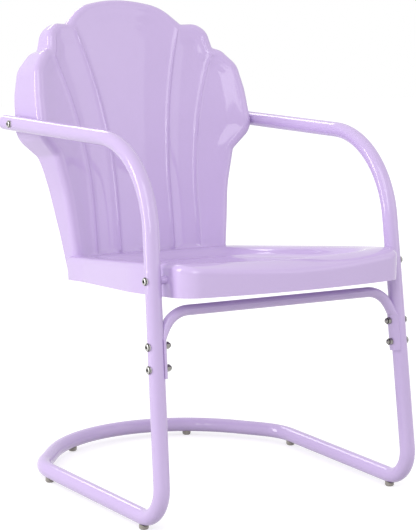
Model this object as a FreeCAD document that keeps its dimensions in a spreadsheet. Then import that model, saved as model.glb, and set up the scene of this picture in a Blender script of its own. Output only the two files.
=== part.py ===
import FreeCAD, Part
import math
import os
import Sketcher
from FreeCAD import Placement, Rotation, Vector

# Bent-tube steel lawn chair with a stamped back and a pressed seat.
# Millimetres, +Z up, the sitter faces -Y, and x = 0 is the middle plane.
# Heights are from the floor, and y is first measured from the front glides.

doc = FreeCAD.newDocument("lawn_chair")
sheet = doc.addObject("Spreadsheet::Sheet", "sizes")

SIZES = [
    # Frame tube
    ("tube_diameter", 27.5),
    ("tube_wall", 1.5),
    ("runner_gap", 6.6),
    ("arm_height", 637.2),
    ("arm_bend_x", 244.4),
    ("arm_bend_y", 31.5),
    ("arm_bend_radius", 166),
    ("arm_tip_x", 252.8),
    ("arm_tip_y", 532),
    ("floor_bend_x", 258.8),
    ("floor_bend_y", -59.6),
    ("floor_bend_radius", 55.8),
    ("rear_bend_x", 268.4),
    ("rear_bend_y", 355.8),
    ("rear_bend_radius", 100),
    ("rear_bar_radius", 270.6),
    ("rear_bar_crown_y", 524.9),
    ("rear_seam_angle", 46.7),
    ("sleeve_half_length", 30),
    ("sleeve_wall", 1.5),
    ("slip_clearance", 0.15),
    ("cap_dome", 8),
    ("cap_plug_length", 14),
    # Front stretcher
    ("stretcher_diameter", 18),
    ("stretcher_wall", 1.4),
    ("stretcher_height", 365.5),
    ("stretcher_bend_x", 187),
    ("stretcher_bend_radius", 53),
    ("cup_clearance", 0.3),
    ("cup_thickness", 4),
    ("cup_half_angle", 52),
    ("cup_top", 322),
    ("cup_bottom", 259),
    ("stretcher_bolt_high", 311.6),
    ("stretcher_bolt_low", 274.8),
    # Back shell
    ("sheet_thickness", 1.5),
    ("back_bottom", 362),
    ("back_base_height", 395),
    ("back_base_y", 441.5),
    ("back_lean", 8.25),
    ("back_arc_radius", 2500),
    ("back_top", 866),
    ("back_curve_bottom", 424),
    ("back_curve_top", 558),
    ("back_rim_round", 12.5),
    ("petal_recess", 0.3),
    ("petal_hollow", 1.4),
    ("petal_bottom", 394),
    ("ridge_height", 2.3),
    ("ridge_half_width", 16),
    ("ridge_foot", 1.6),
    ("ridge_flank_sag", 0.8),
    ("ridge_end_inset", 1.5),
    ("inner_crease_x", 60),
    ("inner_crease_height", 500),
    ("inner_crease_radius", 914),
    ("outer_crease_x", 117),
    ("outer_crease_height", 480),
    ("outer_crease_radius", 708),
    ("flange_foot_y", 444.4),
    ("flange_deep_y", 539.5),
    ("flange_deep_height", 651),
    ("flange_deep_radius", 200),
    ("flange_least_depth", 16),
    # Corners of the back's outline, from the foot to the crown
    ("foot_x", 167),
    ("waist_x", 181.2),
    ("waist_height", 508.8),
    ("waist_radius", 300),
    ("hip_root_x", 199.1),
    ("hip_root_height", 581.4),
    ("hip_root_radius", 22),
    ("hip_x", 236),
    ("hip_height", 621.5),
    ("hip_radius", 22),
    ("flank_x", 231.9),
    ("flank_height", 695),
    ("flank_radius", 120),
    ("shoulder_x", 224.6),
    ("shoulder_height", 740.8),
    ("shoulder_radius", 40),
    ("outer_lobe_x", 198.2),
    ("outer_lobe_height", 769.6),
    ("outer_lobe_radius", 26),
    ("outer_notch_x", 183.1),
    ("outer_notch_height", 774),
    ("outer_notch_radius", 5),
    ("middle_lobe_side_x", 177.2),
    ("middle_lobe_side_height", 805.7),
    ("middle_lobe_side_radius", 30),
    ("middle_lobe_x", 155.9),
    ("middle_lobe_height", 820.8),
    ("middle_lobe_radius", 30),
    ("inner_notch_x", 126.7),
    ("inner_notch_height", 819.3),
    ("inner_notch_radius", 5),
    ("crown_side_x", 84.9),
    ("crown_side_height", 853.3),
    ("crown_side_radius", 60),
    ("crown_height", 869),
    ("crown_radius", 240),
    # Seat pan
    ("seat_half_width", 226),
    ("seat_front_y", -91),
    ("seat_front_angle", 12.2),
    ("seat_corner_radius", 47),
    ("seat_taper_y", 110),
    ("seat_taper_radius", 300),
    ("seat_rear_half_width", 179),
    ("seat_rear_y", 405),
    ("seat_rear_corner", 12),
    ("seat_height", 444),
    ("seat_slope", 0.12),
    ("seat_nose_y", -53),
    ("seat_nose_angle", 25),
    ("seat_nose_radius", 150),
    ("seat_rim_round", 10),
    ("skirt_height", 389),
    ("skirt_slope", 0.0895),
    ("bowl_rim", 25),
    ("bowl_slope", 45),
    ("bowl_depth", 18),
    ("bowl_corner", 45),
    ("seat_back_clearance", 0.3),
    # Fasteners
    ("bolt_diameter", 6),
    ("bolt_clearance", 0.3),
    ("bolt_head_diameter", 14),
    ("bolt_head_height", 4.4),
    ("bolt_head_round", 3.6),
    ("socket_width", 5),
    ("socket_depth", 2.6),
    ("bolt_end", 3),
    ("washer_diameter", 12),
    ("washer_thickness", 1.2),
    ("nut_width", 10),
    ("nut_height", 5),
    ("cap_nut_width", 11),
    ("cap_nut_height", 6),
    ("cap_nut_dome", 4.5),
    ("spacer_diameter", 13),
    ("arm_bolt_y", 492),
    ("seat_bolt_height", 417.5),
    ("back_bolt_height", 373),
    ("back_bolt_inner_x", 38),
    ("back_bolt_outer_x", 105),
    # Floor glides
    ("glide_diameter", 16.5),
    ("glide_foot_round", 2),
    ("glide_saddle", 3),
    ("glide_recess_diameter", 9),
    ("glide_recess", 2.6),
    ("glide_front_y", 0),
    ("glide_side_y", 322.3),
    ("glide_rear_x", 130.4),
    ("screw_diameter", 4),
    ("screw_head_diameter", 7.6),
    ("screw_head_height", 2),
    ("screw_length", 9),
]


def fill_sheet(rows, first_row=1):
    """Write each size into its own cell and name the cell."""
    for row, (alias, value) in enumerate(rows, start=first_row):
        sheet.set("A%d" % row, alias.replace("_", " "))
        sheet.set("B%d" % row, str(value))
        sheet.setAlias("B%d" % row, alias)


fill_sheet(SIZES)
doc.recompute()


def size(alias):
    """The value of one named size."""
    return float(sheet.get(alias))


# Paths and outlines

def rounded_path(corners, closed=False):
    """Wire through corner points, each rounded by its own radius (0 keeps it sharp)."""
    count = len(corners)
    first = 0 if closed else 1
    last = count if closed else count - 1
    ends = []
    if not closed:
        ends.append((corners[0][0], corners[0][0], None))
    for index in range(first, last):
        corner, radius = corners[index]
        before = (corners[index - 1][0] - corner).normalize()
        after = (corners[(index + 1) % count][0] - corner).normalize()
        if radius == 0:
            ends.append((corner, corner, None))
            continue
        half = before.getAngle(after) / 2
        reach = radius / math.tan(half)
        middle = (before + after).normalize() * (radius / math.sin(half) - radius)
        ends.append((corner + before * reach, corner + after * reach, corner + middle))
    if not closed:
        ends.append((corners[-1][0], corners[-1][0], None))
    edges = []
    for index, (start, finish, middle) in enumerate(ends):
        if middle is not None:
            edges.append(Part.Arc(start, middle, finish).toShape())
        if closed or index + 1 < len(ends):
            following = ends[(index + 1) % len(ends)][0]
            if finish.distanceToPoint(following) > 1e-6:
                edges.append(Part.LineSegment(finish, following).toShape())
    return Part.Wire(edges)


def prism(wire, direction):
    """Solid swept straight from a flat closed wire."""
    return Part.Face(wire).extrude(direction)


def swept_round(path, radius):
    """Solid rod of one radius along a smooth path."""
    start = path.OrderedEdges[0]
    point = start.valueAt(start.FirstParameter)
    ahead = start.tangentAt(start.FirstParameter)
    if start.Orientation == "Reversed":
        point = start.valueAt(start.LastParameter)
        ahead = start.tangentAt(start.LastParameter) * -1
    ring = Part.Wire([Part.Circle(point, ahead, radius).toShape()])
    return path.makePipeShell([ring], True, False)


def rod(centre, axis, diameter, half_length):
    """Cylinder on an axis, the same length either side of its centre."""
    direction = Vector(axis).normalize()
    start = centre - direction * half_length
    return Part.makeCylinder(diameter / 2, 2 * half_length, start, direction)


def mirrored_side(point, side):
    """A point of the right half, moved to the given side (+1 right, -1 left)."""
    return Vector(point.x * side, point.y, point.z)


# Frame geometry

tube_radius = size("tube_diameter") / 2
runner_height = size("runner_gap") + tube_radius
arm_tip = Vector(size("arm_tip_x"), size("arm_tip_y"), size("arm_height"))
arm_bend = Vector(size("arm_bend_x"), size("arm_bend_y"), size("arm_height"))
floor_bend = Vector(size("floor_bend_x"), size("floor_bend_y"), runner_height)
rear_bend = Vector(size("rear_bend_x"), size("rear_bend_y"), runner_height)
rear_centre_y = size("rear_bar_crown_y") - size("rear_bar_radius")


def rear_bar_tangent_angle():
    """Angle from the crown at which the slanted run meets the rear bar's arc."""
    across = size("rear_bend_x")
    along = size("rear_bend_y") - rear_centre_y
    reach = math.hypot(across, along)
    return math.atan2(across, along) - math.acos(size("rear_bar_radius") / reach)


def on_rear_bar(angle):
    """Point of the rear bar's arc at an angle from the crown, right side positive."""
    radius = size("rear_bar_radius")
    return Vector(radius * math.sin(angle), rear_centre_y + radius * math.cos(angle), runner_height)


def on_line(start, finish, share):
    return start + (finish - start) * share


def leg_axis(height):
    """Point of the right leg's axis at a height."""
    share = (height - floor_bend.z) / (arm_bend.z - floor_bend.z)
    return on_line(floor_bend, arm_bend, share)


def arm_axis(y):
    """Point of the right arm's axis at a distance from the front glides."""
    share = (y - arm_bend.y) / (arm_tip.y - arm_bend.y)
    return on_line(arm_bend, arm_tip, share)


def runner_axis(y):
    """Point of the right runner's axis."""
    share = (y - floor_bend.y) / (rear_bend.y - floor_bend.y)
    return on_line(floor_bend, rear_bend, share)


tangent_angle = rear_bar_tangent_angle()
seam_angle = math.radians(size("rear_seam_angle"))


def side_path(side, seam):
    """Tube axis from an arm's tip down the leg and runner to the seam of the rear bar."""
    tangent = on_rear_bar(side * tangent_angle)
    corners = [
        (mirrored_side(arm_tip, side), 0),
        (mirrored_side(arm_bend, side), size("arm_bend_radius")),
        (mirrored_side(floor_bend, side), size("floor_bend_radius")),
        (mirrored_side(rear_bend, side), size("rear_bend_radius")),
        (tangent, 0),
    ]
    run = rounded_path(corners)
    halfway = on_rear_bar((side * tangent_angle + seam) / 2)
    arc = Part.Arc(tangent, halfway, on_rear_bar(seam)).toShape()
    return Part.Wire(run.Edges + [arc])


# Places of the fasteners on the right side

arm_bolt_point = arm_axis(size("arm_bolt_y"))
seat_bolt_point = leg_axis(size("seat_bolt_height"))
stretcher_bolt_points = [
    leg_axis(size("stretcher_bolt_high")),
    leg_axis(size("stretcher_bolt_low")),
]
bolt_hole = size("bolt_diameter") + size("bolt_clearance")
screw_hole = size("screw_diameter") + size("bolt_clearance")
glide_turn = math.atan2(rear_bend.x - floor_bend.x, rear_bend.y - floor_bend.y)
rear_glide_angle = math.asin(size("glide_rear_x") / size("rear_bar_radius"))


def glide_places():
    """Point on the tube axis over each glide and the tube's heading there."""
    places = {"front": [], "side": [], "rear": []}
    for side in (-1, 1):
        front = runner_axis(size("glide_front_y"))
        back = runner_axis(size("glide_side_y"))
        places["front"].append((mirrored_side(front, side), -side * glide_turn))
        places["side"].append((mirrored_side(back, side), -side * glide_turn))
        rear = on_rear_bar(side * rear_glide_angle)
        places["rear"].append((rear, math.pi / 2 - side * rear_glide_angle))
    return places


glides = glide_places()


def wall_drills(point):
    """Drills on a cross axis, just inside the tubes, for the walls of the back or seat."""
    reach = tube_radius * 2
    places = [mirrored_side(point - Vector(reach, 0, 0), side) for side in (-1, 1)]
    return [rod(place, (1, 0, 0), bolt_hole, tube_radius) for place in places]


# Frame tubes

def frame_tube(label, side, seam):
    """One half of the frame: arm, leg, runner and its share of the rear bar, drilled."""
    path = side_path(side, seam)
    outer = swept_round(path, tube_radius)
    inner = swept_round(path, tube_radius - size("tube_wall"))
    drills = [rod(mirrored_side(arm_bolt_point, side), (1, 0, 0), bolt_hole, tube_radius + 2)]
    drills.append(rod(mirrored_side(seat_bolt_point, side), (1, 0, 0), bolt_hole, tube_radius + 2))
    for point in stretcher_bolt_points:
        drills.append(rod(mirrored_side(point, side), (1, 0, 0), bolt_hole, tube_radius + 2))
    for pair in glides.values():
        for point, heading in pair:
            below = point - Vector(0, 0, tube_radius)
            drills.append(rod(below, (0, 0, 1), screw_hole, size("tube_wall") * 2))
    frame = doc.addObject("Part::Feature", label)
    frame.Shape = outer.cut([inner] + drills)
    return frame


def sleeve():
    """Short tube inside the rear bar that carries its seam."""
    half_angle = size("sleeve_half_length") / size("rear_bar_radius")
    start = on_rear_bar(seam_angle - half_angle)
    finish = on_rear_bar(seam_angle + half_angle)
    path = Part.Wire([Part.Arc(start, on_rear_bar(seam_angle), finish).toShape()])
    radius = tube_radius - size("tube_wall") - size("slip_clearance")
    outer = swept_round(path, radius)
    inner = swept_round(path, radius - size("sleeve_wall"))
    part = doc.addObject("Part::Feature", "rear_bar_sleeve")
    part.Shape = outer.cut(inner)
    return part


# Front stretcher, drawn in the plane of the leaning legs

lean = (arm_bend - floor_bend)
leg_up = Vector(lean).normalize()
lean_up = Vector(0, lean.y, lean.z).normalize()
lean_front = Vector(1, 0, 0).cross(lean_up)


def on_lean(x, height):
    """Point of the legs' leaning plane."""
    share = (height - floor_bend.z) / lean.z
    return Vector(x, floor_bend.y + lean.y * share, height)


def stretcher_section(centre, ahead, shape):
    """Closed wire of four arcs, from eight points given as inward and front offsets."""
    inwards = ahead.cross(lean_front).normalize()
    points = [centre + inwards * a + lean_front * b for a, b in shape]
    arcs = []
    for start in range(0, 8, 2):
        chain = [points[start], points[start + 1], points[(start + 2) % 8]]
        arcs.append(Part.Arc(*chain).toShape())
    return Part.Wire(arcs)


def round_shape(radius):
    """Eight points of a circle, from one corner of the quarter that faces inwards."""
    angles = [math.radians(-45 + 45 * step) for step in range(8)]
    return [(radius * math.cos(a), radius * math.sin(a)) for a in angles]


def cup_shape(centre_offset):
    """Eight points of the pressed end that hugs the leg, about its own centre."""
    near = tube_radius + size("cup_clearance")
    far = near + size("cup_thickness")
    middle = (near + far) / 2
    half = math.radians(size("cup_half_angle"))
    edge = half + size("cup_thickness") / 2 / middle
    polar = [(far, -half), (far, 0), (far, half), (middle, edge)]
    polar += [(near, half), (near, 0), (near, -half), (middle, -edge)]
    return [(r * math.cos(a) - centre_offset, r * math.sin(a)) for r, a in polar]


def blend_shapes(first, second, share):
    return [
        (a * (1 - share) + c * share, b * (1 - share) + d * share)
        for (a, b), (c, d) in zip(first, second)
    ]


def stretcher_axis(turn, side=1):
    """Axis of the stretcher round its bend, from the top bar (0) towards the leg."""
    radius = size("stretcher_bend_radius")
    level = on_lean(side * (size("stretcher_bend_x") + radius * math.sin(turn)), size("stretcher_height"))
    return level - lean_up * (radius * (1 - math.cos(turn)))


round_end = math.radians(45)


def pressed_end():
    """Right end: flattens from the round tube into a cup that hugs the leg."""
    cup_offset = tube_radius + size("cup_clearance") + size("cup_thickness") / 2
    round_points = round_shape(size("stretcher_diameter") / 2)
    cup_points = cup_shape(cup_offset)
    cup_centre = leg_axis(size("cup_top")) - Vector(cup_offset, 0, 0)
    sections = []
    for share in (0, 0.2, 0.4, 0.6, 0.8, 1):
        soft = share * share * (3 - 2 * share)
        turn = round_end + (math.pi / 2 - round_end) * share
        centre = on_line(stretcher_axis(turn), cup_centre, soft)
        ahead = Vector(1, 0, 0) * math.cos(turn) - lean_up * math.sin(turn)
        shape = blend_shapes(round_points, cup_points, soft)
        sections.append(stretcher_section(centre, ahead, shape))
    lowest = sections[-1].copy()
    lowest.translate(leg_axis(size("cup_bottom")) - leg_axis(size("cup_top")))
    end = Part.makeLoft(sections + [lowest], True, True)
    foot = leg_axis(size("cup_bottom") - 20)
    room = Part.makeCylinder(tube_radius + size("cup_clearance") * 0.8, 150, foot, leg_up)
    return end.cut(room)


def stretcher():
    """Small U tube under the seat, flattened and cupped where it is bolted to the legs."""
    radius = size("stretcher_diameter") / 2
    left = [stretcher_axis(turn, -1) for turn in (round_end, round_end / 2, 0)]
    right = [stretcher_axis(turn) for turn in (0, round_end / 2, round_end)]
    edges = [Part.Arc(*left), Part.LineSegment(left[-1], right[0]), Part.Arc(*right)]
    path = Part.Wire([edge.toShape() for edge in edges])
    outer = swept_round(path, radius)
    inner = swept_round(path, radius - size("stretcher_wall"))
    end = pressed_end()
    other_end = end.mirror(Vector(0, 0, 0), Vector(1, 0, 0))
    body = outer.cut(inner).fuse([end, other_end])
    drills = []
    for side in (-1, 1):
        for point in stretcher_bolt_points:
            reach = Vector(tube_radius + size("cup_thickness") / 2, 0, 0)
            place = mirrored_side(point - reach, side)
            drills.append(rod(place, (1, 0, 0), bolt_hole, size("cup_thickness") + 4))
    part = doc.addObject("Part::Feature", "front_stretcher")
    part.Shape = body.cut(drills)
    return part


# Back shell

def back_middle_y(height):
    """Front surface of the back at x = 0: a leaning line bent into a long arc."""
    rise = height - size("back_base_height")
    lean_share = math.tan(math.radians(size("back_lean")))
    return size("back_base_y") + lean_share * rise + rise * rise / (2 * size("back_arc_radius"))


def back_curve_radius(height):
    """Radius of the back's dish across the chair, flatter towards the top."""
    share = (height - size("back_base_height")) / (size("back_top") - size("back_base_height"))
    share = max(share, 0)
    return size("back_curve_bottom") + (size("back_curve_top") - size("back_curve_bottom")) * share**2


def on_back(x, height, behind=0):
    """Point of the raised front surface, or a set distance behind it."""
    radius = back_curve_radius(height)
    dish = radius - math.sqrt(radius * radius - x * x)
    return Vector(x, back_middle_y(height) - dish + behind, height)


def crease_x(height, start_x, start_height, radius):
    """A crease runs straight up, then bends outwards along an arc."""
    rise = max(height - start_height, 0)
    return start_x + radius - math.sqrt(radius * radius - rise * rise)


def inner_crease(height):
    return crease_x(height, size("inner_crease_x"), size("inner_crease_height"),
                    size("inner_crease_radius"))


def outer_crease(height):
    return crease_x(height, size("outer_crease_x"), size("outer_crease_height"),
                    size("outer_crease_radius"))


def crease_places(height):
    return inner_crease(height), outer_crease(height)


block_half_width = 300
block_rear_y = 720
prism_front_y = 200
prism_depth = 500
ridge_root = 6
skirt_rear = size("skirt_height") - size("skirt_slope") * size("seat_rear_y")
block_bottom = min(size("back_bottom"), skirt_rear) - 25
block_top = size("back_top") + 25
section_count = 9
section_heights = [
    block_bottom + (block_top - block_bottom) * step / (section_count - 1)
    for step in range(section_count)
]


def block_section(front_edges, height):
    """Closed wire: the front edges, then straight round the rear of the block."""
    start = front_edges[0].valueAt(front_edges[0].FirstParameter)
    finish = front_edges[-1].valueAt(front_edges[-1].LastParameter)
    rear_right = Vector(finish.x, block_rear_y, height)
    rear_left = Vector(start.x, block_rear_y, height)
    sides = [
        Part.LineSegment(finish, rear_right).toShape(),
        Part.LineSegment(rear_right, rear_left).toShape(),
        Part.LineSegment(rear_left, start).toShape(),
    ]
    return Part.Wire(front_edges + sides)


def plain_block(behind):
    """Solid behind the dished front surface, with no petals."""
    sections = []
    for height in section_heights:
        left = on_back(-block_half_width, height, behind)
        right = on_back(block_half_width, height, behind)
        front = Part.Arc(left, on_back(0, height, behind), right).toShape()
        sections.append(block_section([front], height))
    return Part.makeLoft(sections, True, False)


def depth_arc(start, middle, finish, height):
    """Arc at one height through three points, each given by x and its depth behind the surface."""
    points = [on_back(x, height, depth) for x, depth in (start, middle, finish)]
    return Part.Arc(*points).toShape()


def petal_block(behind):
    """Solid behind the hollow petals, which meet at the creases."""
    edge_depth = size("petal_recess") + behind
    hollow_depth = edge_depth + size("petal_hollow")
    sections = []
    for height in section_heights:
        inner, outer = crease_places(height)
        ends = [-block_half_width, -outer, -inner, inner, outer, block_half_width]
        edges = []
        for start, finish in zip(ends, ends[1:]):
            middle = (start + finish) / 2
            edges.append(depth_arc((start, edge_depth), (middle, hollow_depth),
                                   (finish, edge_depth), height))
        sections.append(block_section(edges, height))
    return Part.makeLoft(sections, True, False)


def ridge_bar(side, places, behind):
    """Bar whose hollow flanks meet in the sharp ridge along one crease."""
    half = size("ridge_half_width")
    crest = (0, behind - size("ridge_height"))
    foot_depth = behind + size("ridge_foot")
    flank_depth = (crest[1] + foot_depth) / 2 + size("ridge_flank_sag")
    sections = []
    for height in section_heights:
        crease = side * places(height)
        left, right = crease - half, crease + half
        flanks = [
            depth_arc((left, foot_depth), (crease - half / 2, flank_depth),
                      (crease, crest[1]), height),
            depth_arc((crease, crest[1]), (crease + half / 2, flank_depth),
                      (right, foot_depth), height),
        ]
        rear = [on_back(x, height, foot_depth + ridge_root) for x in (right, left)]
        corners = [on_back(right, height, foot_depth)] + rear + [on_back(left, height, foot_depth)]
        sides = [Part.LineSegment(a, b).toShape() for a, b in zip(corners, corners[1:])]
        sections.append(Part.Wire(flanks + sides))
    return Part.makeLoft(sections, True, False)


outline_corners = [
    "crown_side", "inner_notch", "middle_lobe", "middle_lobe_side", "outer_notch", "outer_lobe",
    "shoulder", "flank", "hip", "hip_root", "waist",
]


def back_outline(bottom):
    """Scalloped front view of the back, a closed wire in the plane y = 0."""
    right = [
        (Vector(size(name + "_x"), 0, size(name + "_height")), size(name + "_radius"))
        for name in outline_corners
    ]
    waist = right[-1][0]
    foot = Vector(size("foot_x"), 0, size("back_bottom"))
    share = (bottom - waist.z) / (foot.z - waist.z)
    right.append((on_line(waist, foot, share), 0))
    left = [(Vector(-point.x, point.y, point.z), radius) for point, radius in reversed(right)]
    crown = [(Vector(0, 0, size("crown_height")), size("crown_radius"))]
    return rounded_path(crown + right + left, True)


def inset_wire(wire, distance):
    """The same closed outline, drawn inwards by a distance."""
    if distance == 0:
        return wire
    return Part.Face(wire).makeOffset2D(-distance, 0, False, False, True).OuterWire


def through_back(outline):
    """Prism of an outline, from in front of the back to behind it."""
    outline.translate(Vector(0, prism_front_y, 0))
    return prism(outline, Vector(0, prism_depth, 0))


def above(height):
    """Block round everything of the back that is above a height."""
    low = Vector(-block_half_width, prism_front_y, height)
    return Part.makeBox(2 * block_half_width, prism_depth, block_top - height, low)


def front_rim_edges(solid, behind, lowest):
    """Edges where the side wall meets the plain front surface."""
    found = []
    for edge in solid.Edges:
        middle = edge.valueAt((edge.FirstParameter + edge.LastParameter) / 2)
        depth = middle.y - on_back(middle.x, middle.z, behind).y
        if abs(depth) < 2 and middle.z > lowest:
            found.append(edge)
    return found


def rolled_form(bottom, inset, behind, radius):
    """Solid inside the inset outline, behind the plain surface, its front edge rolled."""
    outline = inset_wire(back_outline(bottom), inset)
    form = through_back(outline).common(plain_block(behind))
    return form.makeFillet(radius, front_rim_edges(form, behind, bottom + 1 + inset))


def back_form(inset):
    """Solid form of the back, drawn inwards by the sheet's thickness for its inside."""
    bottom = size("back_bottom")
    if inset > 0:
        bottom -= 60
    form = rolled_form(bottom, inset, inset, size("back_rim_round") - inset)
    form = form.cut(above(size("petal_bottom") - inset).cut(petal_block(inset)))
    end_inset = size("ridge_end_inset") + inset
    crest_level = inset - size("ridge_height") - 0.1
    limit = rolled_form(size("petal_bottom") - end_inset, end_inset, crest_level,
                        size("back_rim_round") - inset)
    bars = [
        ridge_bar(side, places, inset)
        for places in (inner_crease, outer_crease)
        for side in (-1, 1)
    ]
    return form.fuse(Part.makeCompound(bars).common(limit).Solids)


def behind_flange():
    """Everything behind the flange's rear edge, which deepens up to the arms."""
    foot_z, deep_z = size("back_bottom"), size("flange_deep_height")
    foot_y, deep_y = size("flange_foot_y"), size("flange_deep_y")
    under_y = foot_y - (deep_y - foot_y) * (foot_z - block_bottom) / (deep_z - foot_z)
    corners = [
        (Vector(0, under_y, block_bottom), 0),
        (Vector(0, deep_y, deep_z), size("flange_deep_radius")),
        (Vector(0, deep_y, block_top), 0),
        (Vector(0, block_rear_y, block_top), 0),
        (Vector(0, block_rear_y, block_bottom), 0),
    ]
    profile = rounded_path(corners, True)
    profile.translate(Vector(-block_half_width, 0, 0))
    behind = prism(profile, Vector(2 * block_half_width, 0, 0))
    return behind.common(plain_block(size("flange_least_depth")))


def surface_normal(x, height):
    """Direction square to the plain front surface, pointing rearwards."""
    step = 0.5
    rise = (on_back(x, height + step).y - on_back(x, height - step).y) / (2 * step)
    across = (on_back(x + step, height).y - on_back(x - step, height).y) / (2 * step)
    return Vector(-across, 1, -rise).normalize()


back_bolt_points = [
    on_back(x * side, size("back_bolt_height"))
    for x in (size("back_bolt_inner_x"), size("back_bolt_outer_x"))
    for side in (-1, 1)
]


def back_bolt_drills():
    """Drills for the bolts that hold the seat's rear wall to the back."""
    return [
        rod(point, surface_normal(point.x, point.z), bolt_hole, size("bolt_head_diameter"))
        for point in back_bolt_points
    ]


def back_panel():
    """Stamped back: outer form less the same form one sheet thickness inside it, drilled."""
    outer = back_form(0).cut(behind_flange())
    inner = back_form(size("sheet_thickness"))
    shell = outer.cut(inner)
    part = doc.addObject("Part::Feature", "back_panel")
    part.Shape = shell.cut(wall_drills(arm_bolt_point) + back_bolt_drills())
    return part


# Seat pan

def seat_outline(inset, corner, rear_corner):
    """Plan of the seat, each side moved inwards by a distance, at height 0."""
    angle = math.radians(size("seat_front_angle"))
    half = size("seat_half_width") - inset
    corner_reach = corner * math.tan((math.pi / 2 - angle) / 2)
    bow_radius = 0.95 * (half / math.cos(angle) - corner_reach) / math.tan(angle)
    apex_y = size("seat_front_y") + inset - bow_radius * (1 / math.cos(angle) - 1)
    corner_y = apex_y + half * math.tan(angle)
    narrowing = size("seat_half_width") - size("seat_rear_half_width")
    slant = math.atan2(narrowing, size("seat_rear_y") - size("seat_taper_y"))
    taper_y = size("seat_taper_y") - inset * math.tan(slant / 2)
    rear_y = size("seat_rear_y") - inset
    if rear_corner == 0:
        rear_y = size("seat_rear_y") + 60
    rear_half = half - (rear_y - taper_y) * math.tan(slant)
    right = [
        (Vector(half, corner_y, 0), corner),
        (Vector(half, taper_y, 0), size("seat_taper_radius")),
        (Vector(rear_half, rear_y, 0), rear_corner),
    ]
    left = [(Vector(-point.x, point.y, 0), radius) for point, radius in reversed(right)]
    front = [(Vector(0, apex_y, 0), bow_radius)]
    if rear_corner == 0:
        return rounded_path(front + right + left, True)
    bow = rear_half * rear_half / (2 * size("back_curve_bottom"))
    slope = math.atan2(2 * bow, rear_half)
    rear_radius = math.hypot(rear_half, 2 * bow) / (2 * math.tan(slope))
    rear = [(Vector(0, rear_y + 2 * bow, 0), rear_radius)]
    return rounded_path(front + right + rear + left, True)


def skirt_height_at(y):
    """Height of the seat's lower edge, which falls more gently than the rim."""
    return size("skirt_height") - size("skirt_slope") * y


def seat_top(y):
    """Height of the rim's plane, which falls towards the rear."""
    return size("seat_height") - size("seat_slope") * y


def seat_profile(drop):
    """Side view of the seat's block: sloping top and rounded nose, down to a level bottom."""
    nose_y = size("seat_nose_y")
    rear_y = size("seat_rear_y") + 100
    angle = math.radians(size("seat_nose_angle"))
    nose = Vector(0, nose_y, seat_top(nose_y) - drop)
    tip = nose + Vector(0, -math.cos(angle), -math.sin(angle)) * size("seat_nose_radius")
    corners = [
        (Vector(0, rear_y, seat_top(rear_y) - drop), 0),
        (nose, size("seat_nose_radius")),
        (tip, 0),
        (Vector(0, tip.y, block_bottom + 1), 0),
        (Vector(0, rear_y, block_bottom + 1), 0),
    ]
    profile = rounded_path(corners, True)
    profile.translate(Vector(-block_half_width, 0, 0))
    return prism(profile, Vector(2 * block_half_width, 0, 0))


def below_skirt():
    """Everything under the seat's sloping lower edge."""
    front_y = size("seat_front_y") - 100
    rear_y = size("seat_rear_y") + 100
    corners = [
        (Vector(0, front_y, skirt_height_at(front_y)), 0),
        (Vector(0, rear_y, skirt_height_at(rear_y)), 0),
        (Vector(0, rear_y, 0), 0),
        (Vector(0, front_y, 0), 0),
    ]
    profile = rounded_path(corners, True)
    profile.translate(Vector(-block_half_width, 0, 0))
    return prism(profile, Vector(2 * block_half_width, 0, 0))


def tilted(wire, height):
    """A flat plan laid on a plane parallel to the rim's, this high at y = 0."""
    laid = wire.copy()
    laid.rotate(Vector(0, 0, 0), Vector(1, 0, 0), -math.degrees(math.atan(size("seat_slope"))))
    laid.translate(Vector(0, 0, height))
    return laid


def bowl(offset):
    """Shallow dish cut into the seat's top, its sides easing down to a flat floor."""
    sections = []
    for step in range(7):
        share = -0.1 + 1.1 * step / 6
        inset = size("bowl_rim") + size("bowl_slope") * share - offset
        corner = size("bowl_corner") + size("bowl_slope") * (1 - share) + offset
        eased = share - 0.6 * math.sin(2 * math.pi * share) / (2 * math.pi)
        height = size("seat_height") - offset - size("bowl_depth") * eased
        sections.append(tilted(seat_outline(inset, corner, corner), height))
    return Part.makeLoft(sections, True, False)


def seat_form(inset):
    """Solid form of the seat, drawn inwards by the sheet's thickness for its inside."""
    plan = seat_outline(inset, size("seat_corner_radius") - inset, 0)
    form = prism(plan, Vector(0, 0, 600)).common(seat_profile(inset))
    form = form.cut(plain_block(-size("seat_back_clearance") - inset))
    corners = [edge for edge in form.Edges if is_rear_corner(edge)]
    form = form.makeFillet(size("seat_rear_corner") - inset, corners)
    rim = [edge for edge in form.Edges if is_top_edge(edge)]
    form = form.makeFillet(size("seat_rim_round") - inset, rim)
    return form.cut(bowl(inset))


def seat_pan():
    """Pressed pan: outer form less the same form one sheet thickness inside it, drilled."""
    shell = seat_form(0).cut(seat_form(size("sheet_thickness"))).cut(below_skirt())
    part = doc.addObject("Part::Feature", "seat_pan")
    part.Shape = shell.cut(wall_drills(seat_bolt_point) + back_bolt_drills())
    return part


def middle_of(edge):
    return edge.valueAt((edge.FirstParameter + edge.LastParameter) / 2)


def is_rear_corner(edge):
    """Steep edge where a side of the seat meets its rear wall."""
    start, finish = [vertex.Point for vertex in edge.Vertexes][:2]
    steep = abs(start.z - finish.z) > 15
    return steep and middle_of(edge).y > size("seat_rear_y") - 60


def is_top_edge(edge):
    """Edge between the seat's top and its side walls."""
    if len(edge.Vertexes) < 2 or is_rear_corner(edge):
        return False
    start, finish = edge.Vertexes[0].Point, edge.Vertexes[1].Point
    middle = middle_of(edge)
    steep = abs(start.z - finish.z) > 15 and abs(start.y - finish.y) < 15
    across = abs(start.x + finish.x) < 1 and abs(start.y - finish.y) < 1
    seam = across and abs(middle.y - start.y) < 1 and middle.y > size("seat_front_y") + 5
    return middle.z > skirt_height_at(middle.y) + 20 and not steep and not seam


# Turned, pressed and moulded small parts, each drawn about its own axis

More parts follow.
